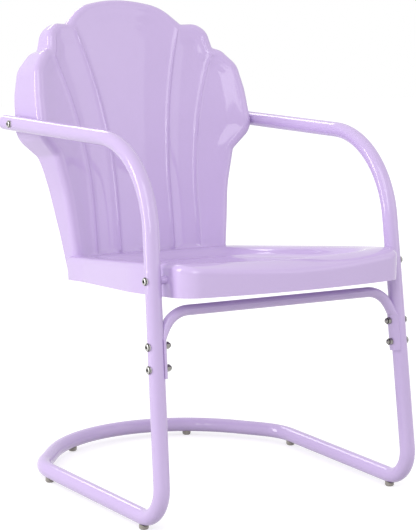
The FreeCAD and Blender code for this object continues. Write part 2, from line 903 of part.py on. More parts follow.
def terms_value(terms):
    return sum(factor * size(alias) for alias, factor in terms)


def terms_expression(terms):
    return " + ".join("%s * sizes.%s" % (factor, alias) for alias, factor in terms)


def origin_feature(body, role):
    return next(item for item in body.Origin.OriginFeatures if item.Role == role)


def new_body(name):
    return doc.addObject("PartDesign::Body", name)


def new_sketch(body, name, role):
    sketch = body.newObject("Sketcher::SketchObject", name)
    sketch.AttachmentSupport = (origin_feature(body, role), [""])
    sketch.MapMode = "FlatFace"
    return sketch


def drawn_profile(body, name, points):
    """Closed sketch in the XZ plane; each corner is dimensioned from the origin by sizes."""
    sketch = new_sketch(body, name, "XZ_Plane")
    places = [Vector(terms_value(across), terms_value(up), 0) for across, up in points]
    count = len(points)
    for index in range(count):
        following = places[(index + 1) % count]
        sketch.addGeometry(Part.LineSegment(places[index], following), False)
    for index in range(count):
        sketch.addConstraint(Sketcher.Constraint("Coincident", index, 2, (index + 1) % count, 1))
    for index, (across, up) in enumerate(points):
        pin_to_axes(sketch, index, across, up)
    return sketch


def pin_to_axes(sketch, index, across, up):
    """Dimension the start of one line from the origin, across and up."""
    for kind, axis, terms in (("DistanceX", -2, across), ("DistanceY", -1, up)):
        if not terms:
            sketch.addConstraint(Sketcher.Constraint("PointOnObject", index, 1, axis))
            continue
        value = terms_value(terms)
        number = sketch.addConstraint(Sketcher.Constraint(kind, -1, 1, index, 1, value))
        sketch.setExpression("Constraints[%d]" % number, terms_expression(terms))


def turned(body, name, points):
    """Add a shape turned about the body's own Z axis."""
    sketch = drawn_profile(body, name + "_profile", points)
    feature = body.newObject("PartDesign::Revolution", name)
    feature.Profile = sketch
    feature.ReferenceAxis = (sketch, ["V_Axis"])
    feature.Angle = 360
    return feature


def hexagon(sketch, width):
    """Six equal sides on a construction circle whose size follows the width over flats."""
    radius = terms_value(width) / math.sqrt(3)
    points = [
        Vector(radius * math.cos(math.radians(60 * step)), radius * math.sin(math.radians(60 * step)), 0)
        for step in range(6)
    ]
    for step in range(6):
        sketch.addGeometry(Part.LineSegment(points[step], points[(step + 1) % 6]), False)
    sketch.addGeometry(Part.Circle(Vector(0, 0, 0), Vector(0, 0, 1), radius), True)
    sketch.addConstraint(Sketcher.Constraint("Coincident", 6, 3, -1, 1))
    for step in range(6):
        sketch.addConstraint(Sketcher.Constraint("Coincident", step, 2, (step + 1) % 6, 1))
        sketch.addConstraint(Sketcher.Constraint("PointOnObject", step, 1, 6))
    for step in range(1, 6):
        sketch.addConstraint(Sketcher.Constraint("Equal", 0, step))
    sketch.addConstraint(Sketcher.Constraint("PointOnObject", 0, 1, -1))
    number = sketch.addConstraint(Sketcher.Constraint("Radius", 6, radius))
    sketch.setExpression("Constraints[%d]" % number, "(%s) / sqrt(3)" % terms_expression(width))


def circle_in(sketch, diameter, up=()):
    """Circle on the sketch's vertical axis, its height and diameter set by sizes."""
    place = Vector(0, terms_value(up), 0)
    number = sketch.addGeometry(Part.Circle(place, Vector(0, 0, 1), terms_value(diameter) / 2), False)
    if up:
        sketch.addConstraint(Sketcher.Constraint("PointOnObject", number, 3, -2))
        rise = sketch.addConstraint(Sketcher.Constraint("DistanceY", -1, 1, number, 3, place.y))
        sketch.setExpression("Constraints[%d]" % rise, terms_expression(up))
    else:
        sketch.addConstraint(Sketcher.Constraint("Coincident", number, 3, -1, 1))
    across = sketch.addConstraint(Sketcher.Constraint("Diameter", number, terms_value(diameter)))
    sketch.setExpression("Constraints[%d]" % across, terms_expression(diameter))


def washer(name):
    """Flat ring, its lower face at height 0."""
    body = new_body(name)
    bore = (("bolt_diameter", 0.5), ("bolt_clearance", 0.5))
    rim = (("washer_diameter", 0.5),)
    thick = (("washer_thickness", 1),)
    turned(body, name + "_ring", [(bore, ()), (rim, ()), (rim, thick), (bore, thick)])
    return body


def button_bolt(name, grip):
    """Round-headed bolt with a hex socket; tip at height 0, shank as long as its grip."""
    body = new_body(name)
    shank = (("bolt_diameter", 0.5),)
    head = (("bolt_head_diameter", 0.5),)
    top = grip + (("bolt_head_height", 1),)
    turned(body, name + "_form", [((), ()), (shank, ()), (shank, grip), (head, grip), (head, top), ((), top)])
    doc.recompute()
    form = body.Tip
    crown = body.newObject("PartDesign::Fillet", name + "_crown")
    crown.Base = (form, edges_at(form.Shape, terms_value(top), terms_value(head)))
    crown.setExpression("Radius", "sizes.bolt_head_round")
    sketch = new_sketch(body, name + "_socket_profile", "XY_Plane")
    sketch.setExpression(".AttachmentOffset.Base.z", terms_expression(top))
    hexagon(sketch, (("socket_width", 1),))
    socket = body.newObject("PartDesign::Pocket", name + "_socket")
    socket.Profile = sketch
    socket.setExpression("Length", "sizes.socket_depth")
    return body


def edges_at(shape, height, radius):
    """Names of the round edges at a height and radius."""
    names = []
    for number, edge in enumerate(shape.Edges, start=1):
        point = edge.Vertexes[0].Point
        level = abs(point.z - height) < 1e-3
        if level and abs(math.hypot(point.x, point.y) - radius) < 1e-3 and edge.Closed:
            names.append("Edge%d" % number)
    return names


def hex_nut(name):
    """Plain nut, its lower face at height 0."""
    body = new_body(name)
    sketch = new_sketch(body, name + "_profile", "XY_Plane")
    hexagon(sketch, (("nut_width", 1),))
    circle_in(sketch, (("bolt_diameter", 1),))
    block = body.newObject("PartDesign::Pad", name + "_block")
    block.Profile = sketch
    block.setExpression("Length", "sizes.nut_height")
    return body


def cap_nut(name):
    """Hexagon with a domed cap over the bolt's end, its seat at height 0."""
    body = new_body(name)
    sketch = new_sketch(body, name + "_profile", "XY_Plane")
    hexagon(sketch, (("cap_nut_width", 1),))
    block = body.newObject("PartDesign::Pad", name + "_block")
    block.Profile = sketch
    block.setExpression("Length", "sizes.cap_nut_height")
    wide = (("cap_nut_width", 0.46),)
    middle = (("cap_nut_width", 0.36),)
    narrow = (("cap_nut_width", 0.16),)
    low = (("cap_nut_height", 1),)
    shoulder = low + (("cap_nut_dome", 0.6),)
    top = low + (("cap_nut_dome", 1),)
    turned(body, name + "_dome",
           [((), ()), (wide, ()), (wide, low), (middle, shoulder), (narrow, top), ((), top)])
    bore = new_sketch(body, name + "_bore_profile", "XY_Plane")
    circle_in(bore, (("bolt_diameter", 1),))
    hole = body.newObject("PartDesign::Pocket", name + "_bore")
    hole.Profile = bore
    hole.Reversed = True
    hole.setExpression("Length", terms_expression((("cap_nut_height", 1), ("cap_nut_dome", 0.3))))
    return body


def saddle_spacer(name, length):
    """Sleeve round a bolt; its upper end is cut to sit on the tube."""
    body = new_body(name)
    bore = (("bolt_diameter", 0.5), ("bolt_clearance", 0.5))
    rim = (("spacer_diameter", 0.5),)
    height = length + (("spacer_diameter", 0.15),)
    turned(body, name + "_sleeve", [(bore, ()), (rim, ()), (rim, height), (bore, height)])
    sketch = new_sketch(body, name + "_saddle_profile", "XZ_Plane")
    circle_in(sketch, (("tube_diameter", 1), ("slip_clearance", 2)), length + (("tube_diameter", 0.5),))
    saddle = body.newObject("PartDesign::Pocket", name + "_saddle")
    saddle.Profile = sketch
    saddle.Type = "ThroughAll"
    saddle.Midplane = True
    return body


def glide(name):
    """Round foot with a saddle on top and a recess for its screw below."""
    body = new_body(name)
    bore = (("screw_diameter", 0.5), ("bolt_clearance", 0.5))
    recess = (("glide_recess_diameter", 0.5),)
    deep = (("glide_recess", 1),)
    rim = (("glide_diameter", 0.5),)
    foot = rim + (("glide_foot_round", -1),)
    chamfer = (("glide_foot_round", 1),)
    top = (("runner_gap", 1), ("glide_saddle", 1))
    turned(body, name + "_form", [
        (bore, deep), (recess, deep), (recess, ()), (foot, ()), (rim, chamfer), (rim, top), (bore, top),
    ])
    sketch = new_sketch(body, name + "_saddle_profile", "XZ_Plane")
    circle_in(sketch, (("tube_diameter", 1), ("slip_clearance", 2)),
              (("runner_gap", 1), ("tube_diameter", 0.5)))
    saddle = body.newObject("PartDesign::Pocket", name + "_saddle")
    saddle.Profile = sketch
    saddle.Type = "ThroughAll"
    saddle.Midplane = True
    return body


def glide_screw(name):
    """Pan-headed screw that points up, its head in the glide's recess."""
    body = new_body(name)
    shank = (("screw_diameter", 0.5),)
    head = (("screw_head_diameter", 0.5),)
    seat = (("screw_head_height", 1),)
    point = (("screw_diameter", 0.2),)
    shoulder = seat + (("screw_length", 0.8),)
    tip = seat + (("screw_length", 1),)
    turned(body, name + "_form", [
        ((), ()), (head, ()), (head, seat), (shank, seat), (shank, shoulder), (point, tip), ((), tip),
    ])
    return body


def arm_cap(name):
    """Domed plug for the open end of an arm; the tube's end is at height 0."""
    body = new_body(name)
    plug = (("tube_diameter", 0.5), ("tube_wall", -1), ("slip_clearance", -1))
    rim = (("tube_diameter", 0.5),)
    length = (("cap_plug_length", 1),)
    face = length
    low = length + (("cap_dome", 0.35),)
    shoulder = length + (("cap_dome", 0.8),)
    top = length + (("cap_dome", 1),)
    turned(body, name + "_form", [
        ((), ()), (plug, ()), (plug, face), (rim, face), (rim, low),
        ((("tube_diameter", 0.4),), shoulder), ((("tube_diameter", 0.2),), top), ((), top),
    ])
    return body


def turn_to(direction):
    """Rotation that points a part's own Z axis along a direction."""
    return Rotation(Vector(0, 0, 1), Vector(direction).normalize())


def group(label, body, places):
    """One node that holds a placed copy of the body at each place."""
    links = []
    for number, place in enumerate(places, start=1):
        link = doc.addObject("App::Link", "%s_copy_%d" % (label, number))
        link.LinkedObject = body
        link.Placement = place
        links.append(link)
    bundle = doc.addObject("Part::Compound", label)
    bundle.Links = links
    return bundle


# Lengths that follow from where the pieces stand

def flange_face_x(height):
    """Outer face of the back's side wall at a height."""
    front_view = Part.Face(back_outline(size("back_bottom")))
    probe = Part.makeLine(Vector(0, 0, height), Vector(block_half_width, 0, height))
    return max(vertex.Point.x for vertex in front_view.common(probe).Vertexes)


def stack(*aliases):
    return sum(size(alias) for alias in aliases)


def both_sides(make_place):
    return [make_place(-1), make_place(1)]


def cross_place(point, side, x, outward):
    """Place on a cross axis through a point, Z pointing out of the chair or into it."""
    way = side if outward else -side
    return Placement(Vector(side * x, point.y, point.z), turn_to((way, 0, 0)))


def saddle_place(point, side, x, tube_direction):
    """Like cross_place pointing out, turned so that the saddle lies along the tube."""
    along = mirrored_side(tube_direction, side)
    outwards = Vector(side, 0, 0)
    turn = Rotation(along.cross(outwards), along, outwards, "ZYX")
    return Placement(Vector(side * x, point.y, point.z), turn)


def back_bolt_place(point, behind, reversed_way):
    """Place on a back bolt's own axis, a distance behind the back's front surface."""
    normal = surface_normal(point.x, point.z)
    direction = normal * -1 if reversed_way else normal
    return Placement(point + normal * behind, turn_to(direction))


def arm_fasteners(flange_x):
    """Bolts through the arms, with spacers, washers and nuts at the back's flange."""
    point = arm_bolt_point
    inside = flange_x - size("sheet_thickness")
    head_x = point.x + tube_radius
    bolt = button_bolt("arm_bolt", (("arm_bolt_grip", 1),))
    spacer = saddle_spacer("arm_spacer", (("arm_spacer_length", 1),))
    ring = washer("arm_washer")
    nut = hex_nut("arm_nut")
    direction = (arm_tip - arm_bend).normalize()
    tip_x = head_x - size("arm_bolt_grip")
    nut_x = inside - size("washer_thickness")
    return [
        group("arm_bolts", bolt, both_sides(lambda side: cross_place(point, side, tip_x, True))),
        group("arm_spacers", spacer,
              both_sides(lambda side: saddle_place(point, side, flange_x, direction))),
        group("arm_washers", ring, both_sides(lambda side: cross_place(point, side, inside, False))),
        group("arm_nuts", nut, both_sides(lambda side: cross_place(point, side, nut_x, False))),
    ]


def seat_fasteners():
    """Bolts through the legs, with spacers, washers and nuts at the seat's skirt."""
    point = seat_bolt_point
    skirt_x = size("seat_half_width")
    inside = skirt_x - size("sheet_thickness")
    bolt = button_bolt("seat_bolt", (("seat_bolt_grip", 1),))
    spacer = saddle_spacer("seat_spacer", (("seat_spacer_length", 1),))
    ring = washer("seat_washer")
    nut = hex_nut("seat_nut")
    tip_x = point.x + tube_radius - size("seat_bolt_grip")
    nut_x = inside - size("washer_thickness")
    return [
        group("seat_side_bolts", bolt, both_sides(lambda side: cross_place(point, side, tip_x, True))),
        group("seat_side_spacers", spacer,
              both_sides(lambda side: saddle_place(point, side, skirt_x, leg_up))),
        group("seat_side_washers", ring,
              both_sides(lambda side: cross_place(point, side, inside, False))),
        group("seat_side_nuts", nut, both_sides(lambda side: cross_place(point, side, nut_x, False))),
    ]


def stretcher_fasteners():
    """Two bolts through each leg and cupped end, closed by cap nuts."""
    bolt = button_bolt("stretcher_bolt", (("stretcher_bolt_grip", 1),))
    nut = cap_nut("stretcher_cap_nut")
    bolt_places = []
    nut_places = []
    for point in stretcher_bolt_points:
        tip_x = point.x + tube_radius - size("stretcher_bolt_grip")
        nut_x = point.x - tube_radius - stack("cup_clearance", "cup_thickness")
        for side in (-1, 1):
            bolt_places.append(cross_place(point, side, tip_x, True))
            nut_places.append(cross_place(point, side, nut_x, False))
    return [
        group("stretcher_bolts", bolt, bolt_places),
        group("stretcher_cap_nuts", nut, nut_places),
    ]


def back_seat_fasteners():
    """Bolts through the seat's rear wall and the back, washers and nuts behind."""
    bolt = button_bolt("back_seat_bolt", (("back_bolt_grip", 1),))
    ring = washer("back_seat_washer")
    nut = hex_nut("back_seat_nut")
    bolt_places = []
    ring_places = []
    nut_places = []
    for point in back_bolt_points:
        flat = surface_normal(point.x, point.z).y
        front = -stack("seat_back_clearance", "sheet_thickness") * flat
        rear = size("sheet_thickness") * flat
        bolt_places.append(back_bolt_place(point, front + size("back_bolt_grip"), True))
        ring_places.append(back_bolt_place(point, rear, False))
        nut_places.append(back_bolt_place(point, rear + size("washer_thickness"), False))
    return [
        group("back_seat_bolts", bolt, bolt_places),
        group("back_seat_washers", ring, ring_places),
        group("back_seat_nuts", nut, nut_places),
    ]


def floor_glides():
    """Three pairs of glides and the screws that hold them."""
    foot = glide("glide")
    screw = glide_screw("glide_screw")
    screw_z = size("glide_recess") - size("screw_head_height")
    bundles = []
    screw_places = []
    for name, pair in glides.items():
        places = []
        for point, heading in pair:
            turn = Rotation(Vector(0, 0, 1), math.degrees(heading))
            places.append(Placement(Vector(point.x, point.y, 0), turn))
            screw_places.append(Placement(Vector(point.x, point.y, screw_z), turn))
        bundles.append(group(name + "_glides", foot, places))
    bundles.append(group("glide_screws", screw, screw_places))
    return bundles


def arm_caps():
    """Domed plugs in the rear ends of the arms."""
    cap = arm_cap("arm_end_cap")

    def place(side):
        direction = mirrored_side((arm_tip - arm_bend).normalize(), side)
        start = mirrored_side(arm_tip, side) - direction * size("cap_plug_length")
        return Placement(start, turn_to(direction))

    return [group("arm_end_caps", cap, both_sides(place))]


def centre_depth(nodes):
    """Middle of the whole chair from front to rear."""
    boxes = [node.Shape.optimalBoundingBox(False, False) for node in nodes]
    return (min(box.YMin for box in boxes) + max(box.YMax for box in boxes)) / 2


def check_and_export(nodes):
    """Stop at any failed object or bad shape, then write one file for each node."""
    for thing in doc.Objects:
        if "Invalid" in thing.State or "Error" in thing.State:
            raise RuntimeError("%s failed" % thing.Label)
    for node in nodes:
        if node.Shape.isNull() or not node.Shape.isValid():
            raise RuntimeError("%s has a bad shape" % node.Label)
        print(node.Label, len(node.Shape.Solids), round(node.Shape.Volume))
    os.makedirs("parts", exist_ok=True)
    for node in nodes:
        node.Shape.exportStep("parts/%s.step" % node.Label)
    print("front glides stand at y =", round(-middle, 3))


back = back_panel()
flange_x = flange_face_x(arm_bolt_point.z)
arm_gap = arm_bolt_point.x - tube_radius - flange_x
seat_gap = seat_bolt_point.x - tube_radius - size("seat_half_width")
behind_wall = stack("sheet_thickness", "washer_thickness", "nut_height", "bolt_end")
fill_sheet([
    ("arm_spacer_length", arm_gap),
    ("arm_bolt_grip", size("tube_diameter") + arm_gap + behind_wall),
    ("seat_spacer_length", seat_gap),
    ("seat_bolt_grip", size("tube_diameter") + seat_gap + behind_wall),
    ("stretcher_bolt_grip", stack("tube_diameter", "cup_clearance", "cup_thickness", "cap_nut_height")),
    ("back_bolt_grip", behind_wall + stack("seat_back_clearance", "sheet_thickness")),
], len(SIZES) + 1)
doc.recompute()

nodes = [
    back,
    seat_pan(),
    frame_tube("left_frame", -1, seam_angle),
    frame_tube("right_frame", 1, seam_angle),
    sleeve(),
    stretcher(),
]
nodes += arm_caps()
nodes += arm_fasteners(flange_x)
nodes += seat_fasteners()
nodes += stretcher_fasteners()
nodes += back_seat_fasteners()
nodes += floor_glides()
doc.recompute()

# The origin is on the floor, under the middle of the chair's depth.
middle = centre_depth(nodes)
for node in nodes:
    node.Placement = Placement(Vector(0, -middle, 0), Rotation())
doc.recompute()
check_and_export(nodes)
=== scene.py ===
# %% [markdown]
# # A spring lawn chair in glossy enamel
# The chair is two bent steel tubes, a stamped back, a pressed seat and their small fasteners.
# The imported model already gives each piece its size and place, in metres, so everything made
# here is built around it: finer sheets for the back and the seat, a finish for every piece,
# a camera and a pale studio.

import math

import bpy
import numpy as np
from mathutils import Matrix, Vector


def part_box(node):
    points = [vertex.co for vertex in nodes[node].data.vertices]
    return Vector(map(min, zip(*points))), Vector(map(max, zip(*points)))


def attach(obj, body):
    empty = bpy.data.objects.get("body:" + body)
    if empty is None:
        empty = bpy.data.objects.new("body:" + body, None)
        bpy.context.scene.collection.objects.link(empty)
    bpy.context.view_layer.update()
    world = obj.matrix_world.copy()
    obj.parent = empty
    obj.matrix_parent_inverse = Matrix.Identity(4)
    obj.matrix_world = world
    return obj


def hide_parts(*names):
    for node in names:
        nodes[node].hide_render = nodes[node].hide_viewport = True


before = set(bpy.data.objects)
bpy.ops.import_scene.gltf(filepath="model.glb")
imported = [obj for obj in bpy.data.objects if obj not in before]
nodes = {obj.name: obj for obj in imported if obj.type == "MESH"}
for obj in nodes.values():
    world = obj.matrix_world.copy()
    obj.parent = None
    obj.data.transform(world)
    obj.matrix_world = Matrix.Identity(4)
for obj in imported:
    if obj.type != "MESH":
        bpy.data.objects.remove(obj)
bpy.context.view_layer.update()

# %% [markdown]
# ## Lengths and colours
# Steel work is drawn in millimetres, and the drawing measures depth from the front glides, so
# one function turns drawn points into the model's metres. Colours are picked as sRGB hex, the
# way a paint chart gives them, and one function turns them into the linear light that shaders
# add up.

# %% Drawn millimetres to metres
glide_low, glide_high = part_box("front_glides")
front_glide_y = (glide_low.y + glide_high.y) / 2


def metres(x, y, z):
    """Points of shape (..., 3): millimetres over 1000, with y counted from the front glides."""
    return np.stack([x / 1000, y / 1000 + front_glide_y, z / 1000], axis=-1)


print("front glides stand at y =", round(front_glide_y, 4))


# %% Hex colours to linear light
def linear(hex_colour):
    """sRGB to linear: c / 12.92 up to 0.04045, else ((c + 0.055) / 1.055) ** 2.4. Alpha is 1."""
    parts = [int(hex_colour[i:i + 2], 16) / 255 for i in (1, 3, 5)]
    return [c / 12.92 if c <= 0.04045 else ((c + 0.055) / 1.055) ** 2.4 for c in parts] + [1.0]


lilac = "#C9B4DF"
print("lilac in linear light:", [round(c, 3) for c in linear(lilac)])


# %% [markdown]
# ## Rounded outlines
# A press tool's outline is straight runs and arcs. Writing each corner as a point and a radius
# keeps the drawing short, and the arcs give exact outward directions, which later lines need
# when the sheet rolls over at its edge.

# %% A line of runs and arcs
def direction(start, finish):
    """Unit vector from one point to another: their difference over its length."""
    way = np.asarray(finish, float) - np.asarray(start, float)
    return way / np.hypot(*way)


def turned(way, angles):
    """A plane direction turned by each angle: (x cos a - y sin a, x sin a + y cos a)."""
    cos, sin = np.cos(angles), np.sin(angles)
    return np.stack([way[0] * cos - way[1] * sin, way[0] * sin + way[1] * cos], axis=-1)


def rounded_line(corners, radii, arc_steps, run_steps, closed=False):
    """Points and left-hand directions along runs that are joined by arcs.

    An arc of radius r that turns by angle a touches its runs r * tan(a / 2) from the corner,
    and its points lie r from a centre that stands square to the first run.
    """
    corners = np.asarray(corners, float)
    count = len(corners)
    arcs = []
    for i in range(count):
        if not closed and i in (0, count - 1):
            neighbour = corners[1] if i == 0 else corners[-2]
            way = direction(corners[i], neighbour) if i == 0 else direction(neighbour, corners[i])
            arcs.append((corners[i][None], way[None]))
            continue
        before = direction(corners[i - 1], corners[i])
        after = direction(corners[i], corners[(i + 1) % count])
        angle = math.atan2(before[0] * after[1] - before[1] * after[0], before @ after)
        radius = radii[i] * math.copysign(1, angle)
        touch = corners[i] - before * radii[i] * math.tan(abs(angle) / 2)
        centre = touch + turned(before, np.pi / 2) * radius
        ways = turned(before, np.linspace(0, angle, arc_steps[i] + 1))
        arcs.append((centre - np.stack([-ways[:, 1], ways[:, 0]], axis=-1) * radius, ways))
    points, ways = [], []
    for i, (arc, arc_ways) in enumerate(arcs):
        points.append(arc)
        ways.append(arc_ways)
        if i + 1 < count or closed:
            share = np.linspace(0, 1, run_steps[i] + 1)[1:-1, None]
            points.append(arc[-1] + (arcs[(i + 1) % count][0][0] - arc[-1]) * share)
            ways.append(np.repeat(arc_ways[-1:], len(share), axis=0))
    points, ways = np.concatenate(points), np.concatenate(ways)
    return points, np.stack([-ways[:, 1], ways[:, 0]], axis=-1)


square_turn, _ = rounded_line([(0, 0), (9, 0), (9, 9)], (0, 3, 0), (0, 4, 0), (2, 2))
print("a square turn in", len(square_turn), "points:", square_turn.round(1).tolist())


# %% [markdown]
# ## Grids, skins and thickness
# Pressed sheet is best worked out as a grid of points, because its form is a formula of two
# directions. The grid is one skin. The real sheet is 1.5 mm thick, so a second skin is laid
# behind the first along its normals, and a narrow strip closes the cut edge.

# %% Quads of a grid
def grid_quads(numbers):
    """Corner numbers of the quads of a grid of point numbers, anticlockwise from its front."""
    return np.stack(
        [numbers[:-1, :-1], numbers[:-1, 1:], numbers[1:, 1:], numbers[1:, :-1]], axis=-1
    ).reshape(-1, 4)


def make_mesh(name, points, quads, triangles=()):
    """A mesh from an array of points and arrays of corner numbers."""
    mesh = bpy.data.meshes.new(name)
    mesh.from_pydata(points.tolist(), [], quads.tolist() + np.asarray(triangles).tolist())
    mesh.update()
    return mesh


print("the quad of points 0 1 over 2 3 is", grid_quads(np.arange(4).reshape(2, 2)).tolist())

# %% Thickness and the cut edge
sheet_thickness, sharp_degrees = 1.5, 40


def open_edges(quads, triangles):
    """Edges that only one face has, in that face's direction."""
    edges = np.concatenate([
        np.stack([faces, np.roll(faces, -1, axis=1)], axis=-1).reshape(-1, 2)
        for faces in (quads, triangles)
    ])
    _, first, counts = np.unique(np.sort(edges, axis=1), axis=0, return_index=True,
                                 return_counts=True)
    return edges[first[counts == 1]]


def sheet_piece(name, points, quads, triangles=()):
    """A sheet: the drawn skin, a second skin one thickness behind it, and its cut edge.

    A point of the second skin is its front point less the normal times the thickness.
    """
    triangles = np.asarray(triangles, int).reshape(-1, 3)
    skin = make_mesh(name + "_skin", points, quads, triangles)
    normals = np.zeros(len(points) * 3, np.float32)
    skin.vertices.foreach_get("normal", normals)
    bpy.data.meshes.remove(skin)
    behind = points - normals.reshape(-1, 3) * sheet_thickness / 1000
    count = len(points)
    edges = open_edges(quads, triangles)
    rim = np.stack([edges[:, 1], edges[:, 0], edges[:, 0] + count, edges[:, 1] + count], axis=-1)
    mesh = make_mesh(
        name, np.concatenate([points, behind]),
        np.concatenate([quads, quads[:, ::-1] + count, rim]),
        np.concatenate([triangles, triangles[:, ::-1] + count]),
    )
    mesh.shade_smooth()
    mesh.set_sharp_from_angle(angle=math.radians(sharp_degrees))
    piece = bpy.data.objects.new(name, mesh)
    bpy.context.scene.collection.objects.link(piece)
    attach(piece, "root")
    return piece


print("sheets are", sheet_thickness, "mm thick")

# %% [markdown]
# ## The rolled edge
# Both sheets turn over at their edge through a round roll into a wall. The roll touches the
# front surface and the wall, and since the surface meets the wall at a different slope all
# round, the roll's start moves in and out with that slope.

# %% Roll from a sloping surface into a wall
roll_steps = 10


def rolled_edge(outline, outward, depth_at, roll_radius):
    """Rings of (plan point, depth) round the roll, and how far inside the edge it starts.

    With the surface falling by slope m towards the wall, the roll's centre lies one radius
    inside the wall, the touching point m / sqrt(1 + m * m) radii outside the centre, and the
    points are centre + radius * (cos t, sin t) up to t = 0 at the wall.
    """
    inside = outline - outward * roll_radius
    slope = (depth_at(outline) - depth_at(inside)) / roll_radius
    lean = 1 / np.sqrt(1 + slope * slope)
    touch = -roll_radius * (1 - slope * lean)
    touch_points = outline + outward * touch[:, None]
    centre_depth = depth_at(touch_points) + roll_radius * lean
    first_angle = np.arctan2(-1, slope)
    angles = first_angle * np.linspace(1, 0, roll_steps + 1)[:, None]
    out = -roll_radius + roll_radius * np.cos(angles)
    depth = centre_depth + roll_radius * np.sin(angles)
    return outline + outward * out[..., None], depth, -touch


_, _, flat_start = rolled_edge(np.zeros((1, 2)), np.array([[1.0, 0.0]]),
                               lambda plan: 0 * plan[:, 0], 10.0)
print("on a flat sheet a 10 mm roll starts", float(flat_start[0]), "mm inside the edge")

# %% [markdown]
# ## The stamped back
# The back is one sheet, dished across like a barrel and leaning back in a long curve. Four
# sharp ridges fan out from the bottom and part five hollow petals, and the outline is notched
# where a ridge meets it. The whole front is a depth behind a plain curved surface, which makes
# it a formula: the dish, plus the petals' hollow, less the ridges.

# %% Plain surface of the back
back_base_z, back_base_y, back_top = 395.0, 441.5, 866.0
back_lean = math.tan(math.radians(8.25))
back_arc_radius = 2500.0
dish_radius_low, dish_radius_high = 424.0, 558.0


def back_surface(x, z):
    """Depth of the plain front: a leaning long arc, less the sag of an arc across the chair."""
    rise = z - back_base_z
    middle = back_base_y + back_lean * rise + rise * rise / (2 * back_arc_radius)
    share = np.clip(rise / (back_top - back_base_z), 0, None)
    radius = dish_radius_low + (dish_radius_high - dish_radius_low) * share**2
    return middle - (radius - np.sqrt(radius * radius - x * x))


print("back leans from", float(back_surface(0, back_base_z)), "to",
      round(float(back_surface(0, back_top)), 1))


# %% Soft steps
def smooth_step(value):
    """0 below 0, 1 above 1, and 3 v * v - 2 v * v * v between."""
    value = np.clip(value, 0, 1)
    return value * value * (3 - 2 * value)


print("half way the step is at", float(smooth_step(0.5)))

# %% Creases, petals and ridges
# A crease is given by its distance from the middle, the height where it starts to lean out,
# and the radius of the arc that it leans out along.
inner_crease, outer_crease = (59.2, 500.0, 914.0), (114.5, 480.0, 708.0)
petal_recess, petal_hollow, outer_hollow, outer_petal_least = 0.3, 3.0, 1.4, 20.0
ridge_height, ridge_half_width, ridge_round, ridge_power = 3.3, 13.0, 0.5, 4.2
inner_shift, outer_shift = -1.0, 3.5
petal_end_z = np.array([362.0, 508.0, 575.0, 625.0, 760.0])
petal_end_x = np.array([152.0, 163.0, 178.0, 214.0, 206.0])
petal_bottom, petal_bottom_fade = 390.0, 8.0


def crease_x(z, start_x, start_z, radius):
    """A crease runs straight up, then out along an arc: x + r - the root of r * r - z * z."""
    rise = np.clip(z - start_z, 0, None)
    return start_x + radius - np.sqrt(radius * radius - rise * rise)


def petal_places(z):
    """How far out the two creases and the outer petals' ends are at heights z."""
    inner, outer = crease_x(z, *inner_crease), crease_x(z, *outer_crease)
    end = np.maximum(np.interp(z, petal_end_z, petal_end_x), outer + outer_petal_least)
    return inner, outer, end


def hollow_depth(x, z):
    """Recess + hollow * (1 - t * t) across each petal, plus its tilt, which shifts the creases.

    t is the distance from the petal's middle over half its width.
    """
    x = np.abs(x)
    inner, outer, end = petal_places(z)
    middle = np.where(x < inner, 0, np.where(x < outer, (inner + outer) / 2, (outer + end) / 2))
    reach = np.where(x < inner, inner, np.where(x < outer, outer - inner, end - outer) / 2)
    deepest = np.where(x < outer, petal_hollow, outer_hollow)
    hollow = petal_recess + deepest * np.clip(1 - ((x - middle) / reach) ** 2, 0, 1)
    tilt = np.where(x < inner, inner_shift * (x / inner) ** 2, np.where(
        x < outer, inner_shift + (outer_shift - inner_shift) * (x - inner) / (outer - inner),
        outer_shift * np.clip((end - x) / (end - outer), 0, 1)))
    return hollow + tilt


def ridge_rise(x, z):
    """Height of the ridges: height * (1 - t) ** power, t being the distance over half a width.

    Near the crest the distance d becomes the root of d * d + r * r, less r, which rounds it.
    """
    inner, outer, _ = petal_places(z)
    aside = np.minimum(np.abs(np.abs(x) - inner), np.abs(np.abs(x) - outer))
    rounded = np.sqrt(aside**2 + ridge_round**2) - ridge_round
    return ridge_height * np.clip(1 - rounded / ridge_half_width, 0, 1) ** ridge_power


print("the middle petal is", float(hollow_depth(0, inner_crease[1])), "mm deep")

# %% Notched outline
side_corners = [
    (167, 362, 0), (181.2, 508.8, 300), (198.5, 580, 20), (236, 620, 45), (231.9, 695, 120),
    (224.6, 740.8, 40), (198.2, 769.6, 26), (183.1, 774, 5), (177.2, 805.7, 30),
    (155.9, 820.8, 30), (126.7, 819.3, 5), (89, 853, 90),
]
crown_z, crown_radius, crown_arc_steps = 870.0, 285.0, 24
side_arc_steps = (0, 8, 8, 10, 8, 12, 12, 16, 8, 8, 16, 10)
side_run_steps = (24, 12, 6, 10, 8, 4, 4, 5, 4, 4, 8, 10)


def mirrored(values, middle=()):
    """A list for the left side, an optional middle, and the same list run backwards."""
    return list(values) + list(middle) + list(values)[::-1]


left = [(-x, z) for x, z, _ in side_corners]
right = [(x, z) for x, z, _ in side_corners][::-1]
back_outline, back_outward = rounded_line(
    left + [(0, crown_z)] + right,
    mirrored([radius for _, _, radius in side_corners], [crown_radius]),
    mirrored(side_arc_steps, [crown_arc_steps]),
    mirrored(side_run_steps),
)
print(len(back_outline), "points round the back")

# %% [markdown]
# The outline's inner ring carries the grid: rows climb its sides, and columns end at its top.
# Five guide lines follow each ridge: its crest, two lines close beside it and its feet. So the
# grid's columns run along the ridges, and each strip between two guides is filled by the rule
# for a surface between four curves.

# %% Ring inside the rolled rim
ring_inset = 20.0
row_corner, outer_notch, inner_notch = 5, 7, 10
back_ring = back_outline - back_outward * ring_inset
last_sample = len(back_outline) - 1


